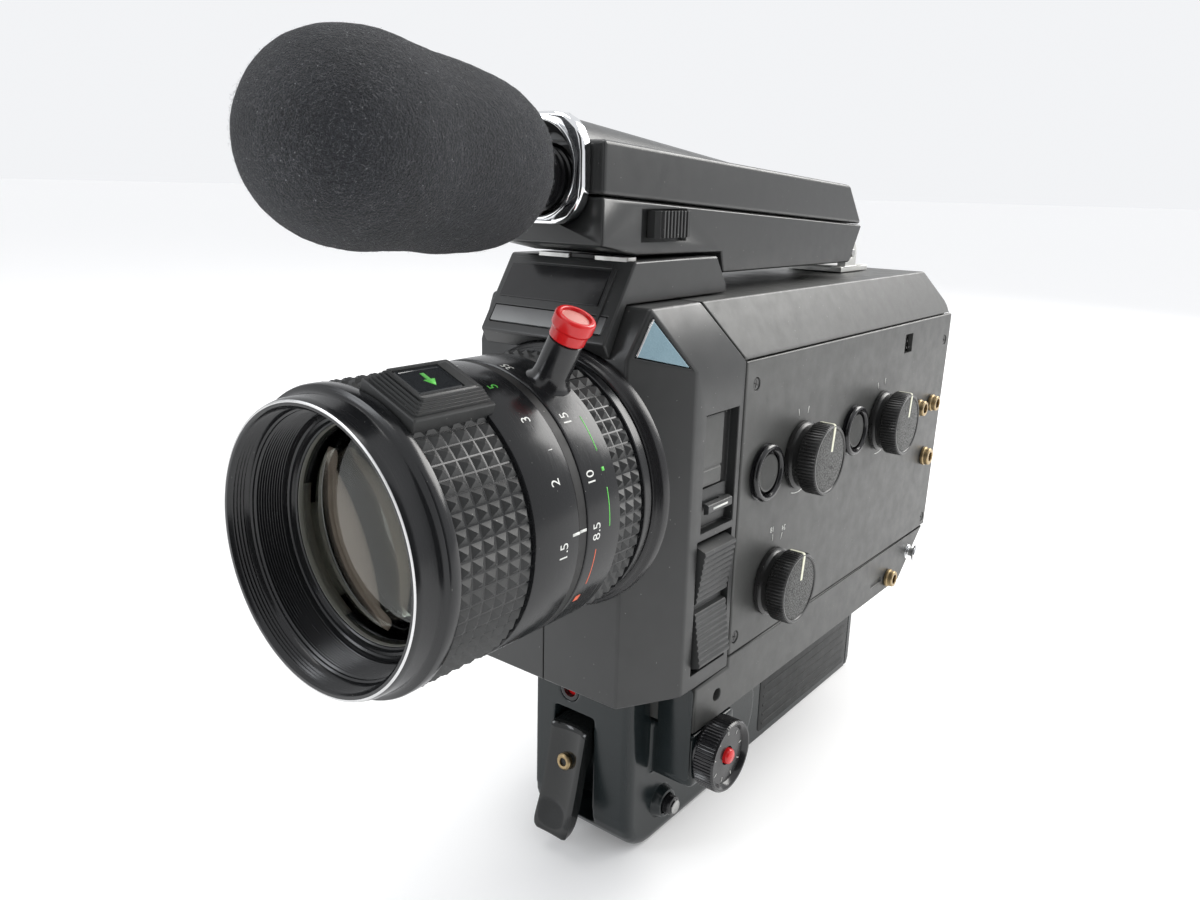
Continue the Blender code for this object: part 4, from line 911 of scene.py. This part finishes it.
def push_button(name):
    """A concave button inside a round rim."""
    node, rim = f"{name}_button", f"{name}_bezel"
    base = foot(rim)
    ring = []
    for i in range(1, 13):
        turn = math.radians(200 - i * 220 / 12)
        ring.append((7.3 - 1.05 * math.cos(turn), 1.15 + 1.05 * math.sin(turn)))
    lathe(f"{name}_rim", "chassis", [(6.25, 0.0)] + ring + [(8.4, 0.0)], base, SIDE, "gloss", stands_for=rim)
    dish = [(0.0, 1.55), (3.0, 1.7), (4.6, 2.05), (5.1, 2.25), (5.45, 2.15), (5.6, 1.7), (5.6, 0.0), (0.0, 0.0)]
    lathe(f"{name}_cap", name, dish, (ends(node)[0].x, base.y, base.z), SIDE, "side", 64, stands_for=node)


def jack(node):
    """A brass socket with a nut and a dark bore; the bore's near-black bottom is painted shade for the deep hole."""
    low, high = ends(node)
    radius = (high.y - low.y) / 2
    base = foot(node)
    lathe(f"{node}_sleeve", "chassis", soften([
        (1.8, 2.9), (radius - 0.55, 2.9), (radius - 0.35, 2.5), (radius - 0.35, 1.2), (radius, 1.0), (radius, 0.0),
        (1.8, 0.0),
    ], 0.15), base, SIDE, "brass", 64, sharp=30, stands_for=node)
    # Painted shade: a near-black disc at the bottom of the sleeve stands for the hole's depth.
    lathe(f"{node}_bore", "chassis", [(0.0, 0.6), (1.82, 0.6), (1.82, 0.1), (0.0, 0.1)], base, SIDE, "dark", 32)


def screw(name, place, direction):
    """A countersunk cross-head screw; its cross slots are thin dark bars, painted shade where the grooves are."""
    radius = SCREW_RADIUS
    lathe(f"{name}_head", "chassis", soften([
        (0.0, 0.12), (radius - 0.15, 0.1), (radius, -0.05), (radius * 0.6, -0.5), (0.0, -0.5),
    ], 0.08), place, direction, "screw", 40)
    spot = local(place, direction)
    length, width = radius * 0.62, 0.2
    corners = ((-length, -width), (length, -width), (length, width), (-length, width))
    # Painted shade: each slot is a flat near-black bar on the head, not a cut groove.
    for i, turn in enumerate((20.0, 110.0)):
        rings = [[radial(spot, turn, 0.0, z)(u, v) for u, v in corners] for z in (0.02, 0.14)]
        loft(f"{name}_slot_{i}", "chassis", rings, "dark", None)


def ribbed_outline(start, end, ribs, height):
    """Points from start to end in a zigzag of small ridges on the outer side."""
    first, last = Vector(start), Vector(end)
    along = (last - first) / ribs
    out = Vector((along.y, -along.x)).normalized() * height
    points = [first]
    for i in range(ribs):
        here = first + along * i
        points += [here + along * 0.35 + out, here + along * 0.65 + out, here + along]
    return [tuple(p) for p in points]


def side_switches():
    """The zoom speed slider and the two ribbed paddles of the zoom rocker."""
    low, high = ends("zoom_rocker")
    middle = (low.z + high.z) / 2
    outline = [(30.9, middle - 1.6), (31.4, low.z + 0.6), (32.4, low.z + 0.1)]
    outline += ribbed_outline((35.75, low.z + 1.4), (33.5, middle - 1.4), 9, 0.34)
    outline += [(32.0, middle - 1.0), (32.0, middle + 1.0)]
    outline += ribbed_outline((33.5, middle + 1.4), (35.75, high.z - 1.4), 9, 0.34)
    outline += [(32.4, high.z - 0.1), (31.4, high.z - 0.6), (30.9, middle + 1.6)]
    extrude("rocker_paddles", "zoom_switch", outline, 1, low.y + 0.1, high.y - 0.1, "switch", 0.08,
            stands_for="zoom_rocker")

    low, high = ends("zoom_speed_slider")
    middle = (low.z + high.z) / 2 + 0.1
    bar = [
        (33.05, middle - 1.6), (34.4, middle - 1.2), (34.6, middle - 0.9), (34.6, middle + 0.9), (34.4, middle + 1.2),
        (33.05, middle + 1.6),
    ]
    extrude("speed_slider", "zoom_speed", bar, 1, low.y + 0.1, high.y - 0.1, "switch", 0.12,
            stands_for="zoom_speed_slider")
    extrude("speed_slider_neck", "zoom_speed", [
        (31.8, middle - 1.4), (33.3, middle - 1.4), (33.3, middle + 1.4), (31.8, middle + 1.4),
    ], 1, low.y + 8.5, high.y - 0.2, "switch", 0.05)
    extrude("speed_slider_plate", "zoom_speed", [
        (31.4, low.z + 0.1), (31.9, low.z + 0.1), (32.0, low.z + 0.3), (32.0, high.z - 0.3), (31.9, high.z - 0.1),
        (31.4, high.z - 0.1),
    ], 1, low.y + 0.1, high.y - 0.1, "switch", 0.05)
    spot = flat((34.62, (low.y + high.y) / 2, middle), SIDE)
    mark("speed_slider_line", "zoom_speed", ((-3.6, -0.3), (3.6, 0.3)), spot, "white")
    y0, y1 = low.y - 1.4, high.y + 1.5
    for i, z in enumerate((116.8, 120.6, 124.4)):
        spot = flat((31.05, (y0 + y1) / 2 - 4.0, z), SIDE)
        mark(f"speed_tick_{i}", "chassis", ((-1.0, -0.16), (1.0, 0.16)), spot, "white")
    extrude("speed_slot_liner", "chassis", [
        (30.6, 103.0), (31.02, 103.0), (31.02, 134.2), (30.6, 134.2),
    ], 1, y0, y1, "dusty", 0.05)
    extrude("speed_slot_ledge", "chassis", [
        (32.15, 114.8), (32.6, 114.8), (32.8, 115.2), (32.8, 119.0), (32.5, 119.2), (32.5, 119.8), (32.9, 120.0),
        (32.9, 133.4), (32.7, 133.9), (32.15, 133.9),
    ], 1, y0 + 0.4, y0 + 9.6, "side", 0.12)


def side_details():
    """Knobs, buttons, jacks, screws and printed marks on the control side."""
    keep("side_panel", "side", 0.2)
    for name, ticks, arc in (
        ("exposure", (78.0, 104.0), (-118.0, -70.0)),
        ("sound", (70.0, 95.0), (-118.0, -80.0)),
        ("speed", (88.0, 112.0), (-200.0, -160.0)),
    ):
        knob(f"{name}_knob", f"{name}_selector")
        knob_marks(f"{name}_knob", ticks, *arc)
    speed = centre("speed_knob")
    for text, dy, dz in (("18", -1.0, 16.2), ("24", 6.4, 15.0)):
        spot = flat((SIDE_X + 0.03, speed.y + dy, speed.z + dz), SIDE)
        on_surface(f"frame_rate_{text}", "chassis", text, 2.4, spot, "white")
    push_button("exposure_lock")
    push_button("fade")
    for node in ("microphone_jack", "earphone_jack", "remote_jack", "base_jack"):
        jack(node)
    for i, (y, z) in enumerate(((-2.1, 139.2), (-4.9, 65.3), (145.6, 136.0), (143.0, 64.2))):
        screw(f"panel_screw_{i}", (SIDE_X - 0.35, y, z), SIDE)
    for i in range(5):
        lathe(f"socket_pin_{i}", "chassis", [(0.0, 1.3), (0.4, 1.1), (0.45, 0.0), (0.0, 0.0)],
              (32.0, 105.9 + (i % 3) * 2.1, 137.0 + (i // 3) * 2.4), SIDE, "screw", 16)
    lathe("strap_stud", "chassis", soften([
        (0.0, 4.6), (3.2, 4.4), (3.6, 3.9), (3.6, 3.1), (1.9, 2.7), (1.9, 0.9), (3.0, 0.5), (3.0, 0.0), (0.0, 0.0),
    ], 0.25), (33.4, 131.5, 52.5), SIDE, "chrome", 64)


# ---------------------------------------------------------------- casing

def casing():
    """The painted casings, windows and the nameplate block."""
    for node in ("front_housing_left", "front_housing_right", "nameplate_block", "rear_cover"):
        keep(node, "paint", 0.3, 3)
    keep("main_body", "side", 0.4, 3)
    for node in ("drive_motor", "zoom_motor", "film_gate", "boom_pin", "grip_pin"):
        keep(node, "steel", 0.2)
    for node, look, bevel in (
        ("film_door", "side", 0.3), ("corner_window", "frosted", 0.2), ("strip_window", "strip", 0.15),
        ("film_window", "smoked", 0.2), ("rear_lens_group", "dark", 0.15), ("shutter_disc", "dark", 0),
        ("take_up_spindle", "gloss", 0.2), ("zoom_drive_wheel", "brass", 0.15), ("boom_bracket", "aluminium", 0.3),
    ):
        keep(node, look, bevel)
    window_trim()


def window_trim():
    """A bright bare-metal edge round the corner window, through its three outer corners: a painted highlight on the
    window's raised border.
    """
    points = [Vector(v.co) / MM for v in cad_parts["corner_window"].data.vertices]
    middle = sum(points, Vector()) / len(points)
    outer = [p for p in points if (p - middle).dot(Vector((0.62, -0.5, 0.6))) > 0]
    top = max(outer, key=lambda p: p.z)
    lower = min(outer, key=lambda p: p.y)
    side = max(outer, key=lambda p: p.x)
    normal = (side - lower).cross(top - lower).normalized()
    middle = (top + lower + side) / 3
    corners = [middle + (p - middle) * 1.055 + normal * -0.05 for p in (lower, top, side)]
    points = []
    for i in range(3):
        points += cut_corner(corners[i - 1], corners[i], corners[(i + 1) % 3], 0.9, 4)
    trim = bpy.data.curves.new("window_trim", "CURVE")
    trim.dimensions = "3D"
    trim.bevel_depth = 0.28 * MM
    trim.bevel_resolution = 3
    # Bright bare metal here is a painted highlight along the window's border.
    trim.materials.append(LOOK["bare"])
    line = trim.splines.new("POLY")
    line.points.add(len(points) - 1)
    for slot, p in zip(line.points, points):
        slot.co = (*(p * MM), 1.0)
    line.use_cyclic_u = True
    holder = bpy.data.objects.new("window_trim", trim)
    bpy.context.scene.collection.objects.link(holder)
    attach(holder, "chassis")


def nameplate():
    """Panels and silver rests on the block that carries the boom."""
    low, high = ends("nameplate_block")
    nose, top = Vector((low.y + 0.1, 153.9)), Vector((-39.7, high.z - 0.1))
    along = (top - nose).normalized()
    out = Vector((-along.y, along.x))
    mid_x = (low.x + high.x) / 2

    def sloped(name, x0, x1, s0, s1, thick, look, edge=0.12):
        """A thin panel on the sloping front, from s0 to s1 up the slope."""
        rings = []
        for depth, inset in ((-0.1, 0.0), (thick - edge, 0.0), (thick, edge)):
            ring = []
            for x, s in ((x0 + inset, s0 + inset), (x1 - inset, s0 + inset), (x1 - inset, s1 - inset),
                         (x0 + inset, s1 - inset)):
                p = nose + along * s + out * depth
                ring.append((x, p.x, p.y))
            rings.append(ring)
        loft(name, "chassis", rings, look, 30)

    length = (top - nose).length
    sloped("name_panel", low.x + 2.2, high.x - 6.2, 9.2, length - 3.2, 0.45, "gloss")
    sloped("name_rib", high.x - 5.2, high.x - 4.3, 1.8, length - 2.6, 0.6, "paint")
    sloped("name_top_bar", low.x + 2.2, high.x - 6.2, length - 2.6, length - 1.2, 0.4, "paint")
    for i, (x0, x1) in enumerate(((mid_x - 11.0, mid_x - 0.5), (mid_x + 7.5, mid_x + 18.0))):
        rings = [[(x, y, z) for x, y in rounded((x1 - x0) / 2, 1.9, 0.5, 3, ((x0 + x1) / 2, -38.2))]
                 for z in (high.z - 0.3, high.z + 0.55, high.z + 0.7)]
        loft(f"rest_plate_{i}", "chassis", rings, "aluminium", 30)
    rings = [[(x, y, z) for x, y in rounded(3.8, 1.7, 0.4, 3, (mid_x + 3.5, -38.0))]
             for z in (high.z - 0.3, high.z + 0.6, high.z + 0.8)]
    loft("rest_block", "chassis", rings, "dark", 30)


# ---------------------------------------------------------------- boom and microphone

MICROPHONE_TILT = math.radians(6.0)
MICROPHONE_HALF = 64.0
FOAM_AROUND, FOAM_ALONG = 300, 230
# The foam's radii at even steps of angle along it, from the neck to the nose.
FOAM_RADII = (0.0, 12.5, 18.0, 20.0, 20.4, 21.2, 18.0, 10.1, 0.0)
FOAM_MOUTH = 8.3
FIBRES = 9000


def boom():
    """Boom housings, chrome bezel, ribbed switch and microphone. Returns the microphone's direction."""
    keep("boom_lower", "paint", 0)
    keep("boom_cover", "paint", 0.2)
    low, high = ends("boom_bezel")
    middle = (low + high) / 2
    depth = high.y - low.y
    keep("boom_bezel", "chrome", 0)
    lathe("bezel_bead", "boom", soften([
        (11.9, depth + 0.05), (11.2, depth + 0.25), (10.75, depth - 0.3), (10.7, depth - 1.5), (11.9, depth - 1.5),
    ], 0.25), (middle.x, high.y, middle.z), (0, -1, 0), "chrome", 96)
    lathe("bezel_liner", "boom", [
        (10.7, depth - 1.2), (10.7, -0.2), (8.75, -0.2), (8.75, 0.6), (9.6, 1.2), (10.2, depth - 1.6),
    ], (middle.x, high.y, middle.z), (0, -1, 0), "dark", 72)

    low, high = ends("boom_switch")
    ribs = []
    pitch = (high.y - low.y - 3.4) / 8
    top = high.x - 0.05
    for i in range(8):
        y = low.y + 1.9 + i * pitch
        ribs += [(top - 0.7, y), (top, y + 0.12), (top, y + pitch * 0.5), (top - 0.7, y + pitch * 0.62)]
    outline = [(low.x, low.y + 0.1), (top - 1.6, low.y + 0.1), (top - 0.5, low.y + 1.1)] + ribs
    outline += [(top - 0.5, high.y - 1.1), (top - 1.6, high.y - 0.1), (low.x, high.y - 0.1)]
    extrude("switch_ribbed", "boom_slide_switch", outline, 2, low.z + 0.1, high.z - 0.1, "switch", 0.08,
            stands_for="boom_switch")

    direction = Vector((0, -math.cos(MICROPHONE_TILT), math.sin(MICROPHONE_TILT)))
    low, high = ends("microphone")
    radius = (high.x - low.x) / 2
    half = MICROPHONE_HALF
    grooves = []
    for i in range(6):
        h = half - 26.0 - i * 2.2
        grooves += [(radius, h), (radius - 0.5, h - 0.3), (radius - 0.5, h - 1.3), (radius, h - 1.6)]
    lathe("microphone_tube", "mic", [(0.0, half), (radius - 0.8, half), (radius, half - 0.8)] + grooves
          + [(radius, -half + 0.8), (radius - 0.8, -half), (0.0, -half)], (low + high) / 2, direction, "gloss", 72,
          stands_for="microphone")
    return direction


def windscreen(direction):
    """The foam windscreen: a grainy felted skin over the turned shape."""
    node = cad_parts["windscreen"]
    points = [Vector(v.co) / MM for v in node.data.vertices]
    heights = [p.dot(direction) for p in points]
    base_height, tip_height = min(heights), max(heights)
    length = tip_height - base_height
    tip = points[heights.index(tip_height)]
    axis_start = tip - direction * length
    radii = FOAM_RADII

    def radius_at(t):
        """A smooth radius along the foam, with t from 0 at the neck to 1 at the nose."""
        phase = math.acos(max(-1.0, min(1.0, 1 - 2 * t))) / math.pi * 8
        i = min(7, int(phase))
        before = radii[i - 1] if i > 0 else -radii[1]
        after = radii[i + 2] if i < 7 else -radii[7]
        return between((before, radii[i], radii[i + 1], after), phase - i)

    around, along = FOAM_AROUND, FOAM_ALONG
    turn = axes(direction)
    verts, faces = [], []
    for j in range(along + 1):
        t = (1 - math.cos(math.pi * (0.045 + 0.955 * j / along))) / 2
        radius = max(0.0, radius_at(t))
        for i in range(around):
            angle = math.tau * i / around
            spot = axis_start + turn @ Vector((radius * math.cos(angle), radius * math.sin(angle), length * t))
            out = (turn @ Vector((math.cos(angle), math.sin(angle), (t - 0.5) * 0.8))).normalized()
            grain = noise.noise(spot * 0.9) * 0.05 + noise.noise(spot * 0.4) * 0.1 + noise.noise(spot * 0.12) * 0.2
            verts.append(spot + out * (grain - 0.2))
    for j in range(along):
        for i in range(around):
            k = (i + 1) % around
            faces.append((j * around + i, j * around + k, (j + 1) * around + k, (j + 1) * around + i))
    hollow = len(verts)
    for depth, radius in ((1.6, FOAM_MOUTH + 0.6), (1.2, FOAM_MOUTH), (12.0, FOAM_MOUTH)):
        for i in range(around):
            angle = math.tau * i / around
            verts.append(axis_start + turn @ Vector((radius * math.cos(angle), radius * math.sin(angle), depth)))
    order = [0, hollow, hollow + around, hollow + 2 * around]
    for a, b in zip(order, order[1:]):
        for i in range(around):
            k = (i + 1) % around
            faces.append((a + i, a + k, b + k, b + i))
    foam = from_lists("foam_windscreen", verts, faces, "mic", "foam", weld=False, sharp=None)
    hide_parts("windscreen")

    curls(direction, lambda t: axis_start + direction * (length * t), radius_at)


def curls(direction, along, radius_at):
    """Loose curly fibres lying on the foam, longer and denser near the neck."""
    turn = axes(direction)
    points, faces = [], []
    for n in range(FIBRES):
        t = (1 - math.cos(math.pi * DICE.uniform(0.05, 0.97))) / 2
        angle = DICE.uniform(0, math.tau)
        out = (turn @ Vector((math.cos(angle), math.sin(angle), (t - 0.5) * 1.2))).normalized()
        outward = turn @ Vector((math.cos(angle), math.sin(angle), 0))
        spot = along(t) + outward * (max(0.5, radius_at(t)) - 0.12)
        size = DICE.uniform(0.2, 0.5) if n % 5 else DICE.uniform(0.5, 1.3)
        lean = Vector((DICE.uniform(-1, 1), DICE.uniform(-1, 1), DICE.uniform(-1, 1)))
        way = (lean - out * lean.dot(out)).normalized()
        side = out.cross(way)
        bend = DICE.uniform(-2.6, 2.6)
        first = len(points)
        for k in range(5):
            f = k / 4
            heading = way * math.cos(bend * f) + side * math.sin(bend * f)
            spot = spot + heading * size * 0.25
            lift = out * (math.sin(math.pi * (0.15 + f * 0.7)) * size * 0.22)
            across = out.cross(heading) * 0.02
            points += [spot + lift - across, spot + lift + across]
        for k in range(4):
            a = first + 2 * k
            faces.append((a, a + 1, a + 3, a + 2))
    from_lists("foam_fibres", points, faces, "mic", "fibre", weld=False, sharp=None)


# ---------------------------------------------------------------- grip

def trigger():
    """The hollow-faced trigger with its brass release socket."""
    low, high = ends("trigger")
    mid_x = (low.x + high.x) / 2
    front = [(37.6, -36.4), (36.4, -38.0), (31.0, -39.2), (23.0, -40.9), (16.0, -42.9), (11.4, -44.5), (8.4, -45.5),
             (6.4, -45.8), (5.5, -45.0)]
    back = [(38.4, -29.5), (34.5, -27.0), (31.6, -31.0), (26.0, -35.4), (17.0, -38.0), (11.4, -40.0), (8.8, -41.4),
            (6.6, -43.0), (5.6, -44.2)]
    width = [5.9, 6.4, 6.3, 6.2, 6.3, 6.4, 6.4, 5.9, 4.8]

    def resample(points, count=34):
        """Evenly spread points on a smooth curve through the given ones."""
        result = []
        for n in range(count):
            s = n / (count - 1) * (len(points) - 1)
            i = min(len(points) - 2, int(s))
            near = (points[max(0, i - 1)], points[i], points[i + 1], points[min(len(points) - 1, i + 2)])
            result.append(between([Vector(p) for p in near], s - i))
        return result

    fronts, backs = resample(front), resample(back)
    widths = resample([(w, 0.0) for w in width])
    rings = []
    for f, b, w in zip(fronts, backs, widths):
        half = w.x
        ring = []
        deep = 1.5 * min(1.0, max(0.15, (f.x - 5.5) / 8.0))
        for k in range(13):
            u = -1 + 2 * k / 12
            hollow = deep * (1 - u * u) + 0.55 * max(0.0, abs(u) - 0.86) / 0.14
            ring.append((mid_x + u * half, max(f.y + hollow, low.y), f.x))
        for u in (1.0, 0.5, 0.0, -0.5, -1.0):
            ring.append((mid_x + u * half * 0.97, b.y, b.x))
        rings.append(ring)
    loft("trigger_body", "trigger_body", rings, "trigger", 50, stands_for="trigger")
    at = (mid_x + 0.2, -39.2, 27.0)
    direction = (0, -1, 0.13)
    lathe("release_socket", "trigger_body", soften([
        (1.2, 0.9), (1.9, 1.0), (2.5, 0.5), (2.5, -0.8), (1.2, -0.8),
    ], 0.15), at, direction, "brass", 48)
    # Painted shade: a near-black plug just inside the socket stands for its deep hole.
    lathe("release_socket_hole", "trigger_body", [(0.0, 0.35), (1.25, 0.3), (1.25, -0.5), (0.0, -0.5)], at, direction,
          "dark", 32)


def grip():
    """Grip head, dial, buttons, folded handle and its cover."""
    moulded("grip_moulding", "grip_head", "chassis", "grip")
    keep("grip_handle", "grip", 0.5, 3)
    keep("battery_cover", "grip", 0.3)
    slab("boss_panel", "chassis", rounded(5.6, 14.6, 1.6), 0.0, 0.5, (27.6, -25.0, 42.2), (0, -1, 0), "grip", 0.3)
    mode_dial()
    release_button()
    run_lamp()
    handle_panels()
    for i in range(6):
        z = 14.0 + i * 2.2
        rings = [[(x, y, z + dz) for x, dz in ((-7.0, -h), (7.0, -h), (7.0, h), (-7.0, h))]
                 for y, h in ((ends("battery_cover")[1].y - 0.3, 0.6), (ends("battery_cover")[1].y - 0.02, 0.35))]
        loft(f"battery_cover_rib_{i}", "battery_door", rings, "grip_panel", 30)
    lathe("tripod_bush", "chassis", [
        (3.15, 0.6), (3.15, 8.6), (2.7, 8.6), (2.95, 7.4), (2.65, 6.6), (2.95, 5.8), (2.65, 5.0), (2.95, 4.2),
        (2.65, 3.4), (2.95, 2.6), (2.65, 1.8), (2.95, 1.0), (3.0, 0.6),
    ], (0.0, -14.0, 0.0), (0, 0, 1), "steel", 64)


def mode_dial():
    """The ribbed dial with its ring of ticks and red middle button."""
    base = foot("mode_dial")
    rib = 0.32
    lathe("dial_ribbed", "dial", [
        (2.75, 6.6), (3.4, 6.5), (8.2, 6.6), (8.7, 7.4), (9.4, 7.95), (9.9, 7.95), (10.35, 7.4, rib * 0.3),
        (10.5, 6.9, rib), (10.5, 2.2, rib), (10.2, 1.7, rib * 0.5), (8.3, 1.2), (8.0, 0.0), (2.75, 0.0),
    ], base, SIDE, "gloss", 272, ribs=68, sharp=30, stands_for="mode_dial")
    spot = local(base, SIDE)
    for i in range(9):
        mark(f"dial_tick_{i}", "dial", ((0.0, -0.13), (1.3, 0.13)), radial(spot, 40 * i + 10, 6.3, 6.62), "white")
    low, high = ends("dial_button")
    lathe("dial_button_cap", "dial_push", [
        (0.0, high.x - low.x), (1.6, high.x - low.x - 0.05), (2.1, high.x - low.x - 0.4), (2.3, high.x - low.x - 1.0),
        (2.3, 0.0), (0.0, 0.0),
    ], (low.x, base.y, base.z), SIDE, "red", 48, stands_for="dial_button")


def release_button():
    """The handle's release button in its raised guard."""
    low, high = ends("grip_release_button")
    length = high.x - low.x
    base = foot("grip_release_button")
    lathe("grip_release", "release", soften([
        (0.0, length - 0.5), (2.0, length - 0.5), (2.2, length - 0.9), (2.8, length - 1.1), (2.9, length - 1.6),
        (2.9, 2.2), (0.0, 2.2),
    ], 0.12), base, SIDE, "gloss", 64, stands_for="grip_release_button")
    lathe("grip_release_tip", "release", [
        (0.0, length), (1.6, length - 0.05), (2.0, length - 0.35), (2.0, length - 0.8), (0.0, length - 0.8),
    ], base, SIDE, "steel", 48)
    wall = ends("grip_pin")[1].x + 0.5
    lathe("grip_release_guard", "chassis", [
        (3.25, 2.3), (3.6, 2.6), (4.2, 2.4), (4.6, 1.6), (4.9, 0.6), (5.6, -0.3), (3.25, -0.3),
    ], (wall, base.y, base.z), SIDE, "grip", 64)


def run_lamp():
    """The small red lamp above the trigger."""
    lamp = (-3.0, -34.6, 47.6)
    lathe("run_lamp_rim", "chassis", [
        (2.2, 0.2), (2.8, 0.35), (3.3, 0.2), (3.3, -1.5), (2.2, -1.5),
    ], lamp, (0, -1, 0), "gloss", 48)
    lathe("run_lamp_lens", "chassis", [
        (0.0, -0.9), (1.2, -1.0), (2.1, -1.3), (2.3, -1.7), (0.0, -1.7),
    ], lamp, (0, -1, 0), "red", 40)


def handle_panels():
    """A thin raised panel with ribs on either side of the folded handle."""
    low, high = ends("grip_handle")
    start = 47.0
    middle_y, middle_z = (high.y + start) / 2, (low.z + high.z) / 2
    outline = rounded((high.y - start) / 2 - 1.0, 17.2, 2.0, 5, (middle_y, middle_z))
    for hand in (-1, 1):
        x = high.x if hand > 0 else low.x
        rings = []
        for out, inset in ((-0.2, 0.0), (0.12, 0.0), (0.25, 0.25)):
            ring = []
            for y, z in outline:
                dy, dz = y - middle_y, z - middle_z
                ring.append((x + hand * out, middle_y + dy * (1 - inset / 36), middle_z + dz * (1 - inset / 17)))
            rings.append(ring)
        loft(f"handle_panel_{hand + 1}", "handle", rings, "grip_panel", 30)
        for i in range(9):
            z = middle_z - 14.4 + i * 3.6
            rings = []
            for out, half in ((0.2, 0.55), (0.42, 0.32)):
                rings.append([(x + hand * out, y, z + dz) for y, dz in
                              ((start + 3.5, -half), (high.y - 4.5, -half), (high.y - 4.5, half), (start + 3.5, half))])
            loft(f"handle_rib_{hand + 1}_{i}", "handle", rings, "grip_panel", 30)


# ---------------------------------------------------------------- rear and far side

def viewfinder():
    """Eyepiece tube, ribbed focusing ring, eye lens and rubber cup."""
    tube = centre("eyepiece_tube")
    base = Vector((tube.x, 0.0, tube.z))
    keep("eyepiece_tube", "gloss", 0.2)
    low, high = (end.y for end in ends("eyepiece_ring"))
    lathe("eyepiece_focus_ring", "eyepiece", [
        (15.0, high), (15.5, high - 0.4, 0.4), (15.6, high - 0.9, 0.4), (15.6, low + 0.9, 0.4),
        (15.4, low + 0.4, 0.4), (14.8, low), (12.3, low), (12.3, high),
    ], base, FORWARD, "switch", 240, ribs=60, sharp=30, stands_for="eyepiece_ring")
    low, high = (end.y for end in ends("eyecup"))
    folds = []
    for i in range(4):
        y = low + 1.2 + i * 1.6
        folds += [(15.4 + i * 0.35, y), (16.0 + i * 0.4, y + 0.7)]
    cup = lathe("eyecup_rubber", "eyepiece", [(11.5, low), (15.2, low)] + folds + [
        (17.6, low + 8.6), (18.6, high - 3.4), (18.95, high - 1.5), (18.7, high - 0.5), (17.9, high - 0.05),
        (17.1, high - 0.4), (16.5, high - 1.8), (14.6, low + 9.0), (12.6, low + 6.6), (11.6, low + 2.0),
    ], base, FORWARD, "rubber", 96, sharp=50)
    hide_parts("eyecup")
    lens_y = ends("eyepiece_tube")[1].y - 5.0
    lathe("eye_lens", "chassis", [
        (0.0, lens_y + 1.6), (4.0, lens_y + 1.3), (7.0, lens_y + 0.7), (9.3, lens_y), (9.3, lens_y - 2.0),
        (0.0, lens_y - 2.0),
    ], base, FORWARD, "eye_glass", 72)
    lathe("eye_lens_back", "chassis", [
        (0.0, lens_y - 2.2), (9.3, lens_y - 2.2), (9.3, lens_y - 2.8), (0.0, lens_y - 2.8),
    ], base, FORWARD, "smoked", 48)


def far_side():
    """Latch, screws and trims on the door side, the rear and the bottom."""
    low, high = ends("door_latch")
    ribs = []
    pitch = (high.y - low.y - 2.6) / 6
    for i in range(6):
        y = low.y + 1.3 + i * pitch
        ribs += [(low.x + 0.6, y), (low.x + 0.05, y + 0.15), (low.x + 0.05, y + pitch * 0.55),
                 (low.x + 0.6, y + pitch * 0.7)]
    outline = [(high.x, low.y + 0.1), (low.x + 0.5, low.y + 0.1)] + ribs + [
        (low.x + 0.5, high.y - 0.1), (high.x, high.y - 0.1)]
    extrude("latch_ribbed", "latch", outline, 2, low.z + 0.1, high.z - 0.1, "switch", 0.08, stands_for="door_latch")
    away = (-1, 0, 0)
    body_low = ends("main_body")[0].x
    for i, (y, z) in enumerate(((-4.0, 150.0), (130.5, 150.0), (-4.0, 51.0), (118.0, 51.0))):
        screw(f"far_screw_{i}", (body_low - 0.02 if z < 146 else body_low + 3.2, y, z), away)
    cover_y = ends("rear_cover")[1].y
    for i, (x, z) in enumerate(((-26.0, 143.5), (26.0, 143.5), (-26.0, 68.5), (26.0, 68.5))):
        screw(f"rear_screw_{i}", (x, cover_y - 0.05, z), FORWARD)
    low, high = ends("film_door")
    rings = []
    for out, inset in ((0.1, 0.0), (-0.12, 0.0), (-0.3, 0.3)):
        middle = ((low.y + high.y) / 2, (low.z + high.z) / 2)
        outline = rounded((high.y - low.y) / 2 - 6 - inset, (high.z - low.z) / 2 - 6 - inset, 3.0, 5, middle)
        rings.append([(low.x + out, y, z) for y, z in outline])
    inner = rounded(10.5, 12.5, 1.0, 5, (centre("film_window").y, centre("film_window").z))
    for out in (-0.3, 0.2):
        rings.append([(low.x + out, y, z) for y, z in inner])
    loft("door_panel", "door", rings, "grip_panel", 30, capped=False)


# ---------------------------------------------------------------- build

studio()
focus_ring()
front_group()
focus_lock()
zoom_ring()
lens_mount()
casing()
nameplate()
side_details()
side_switches()
windscreen(boom())
trigger()
grip()
viewfinder()
far_side()
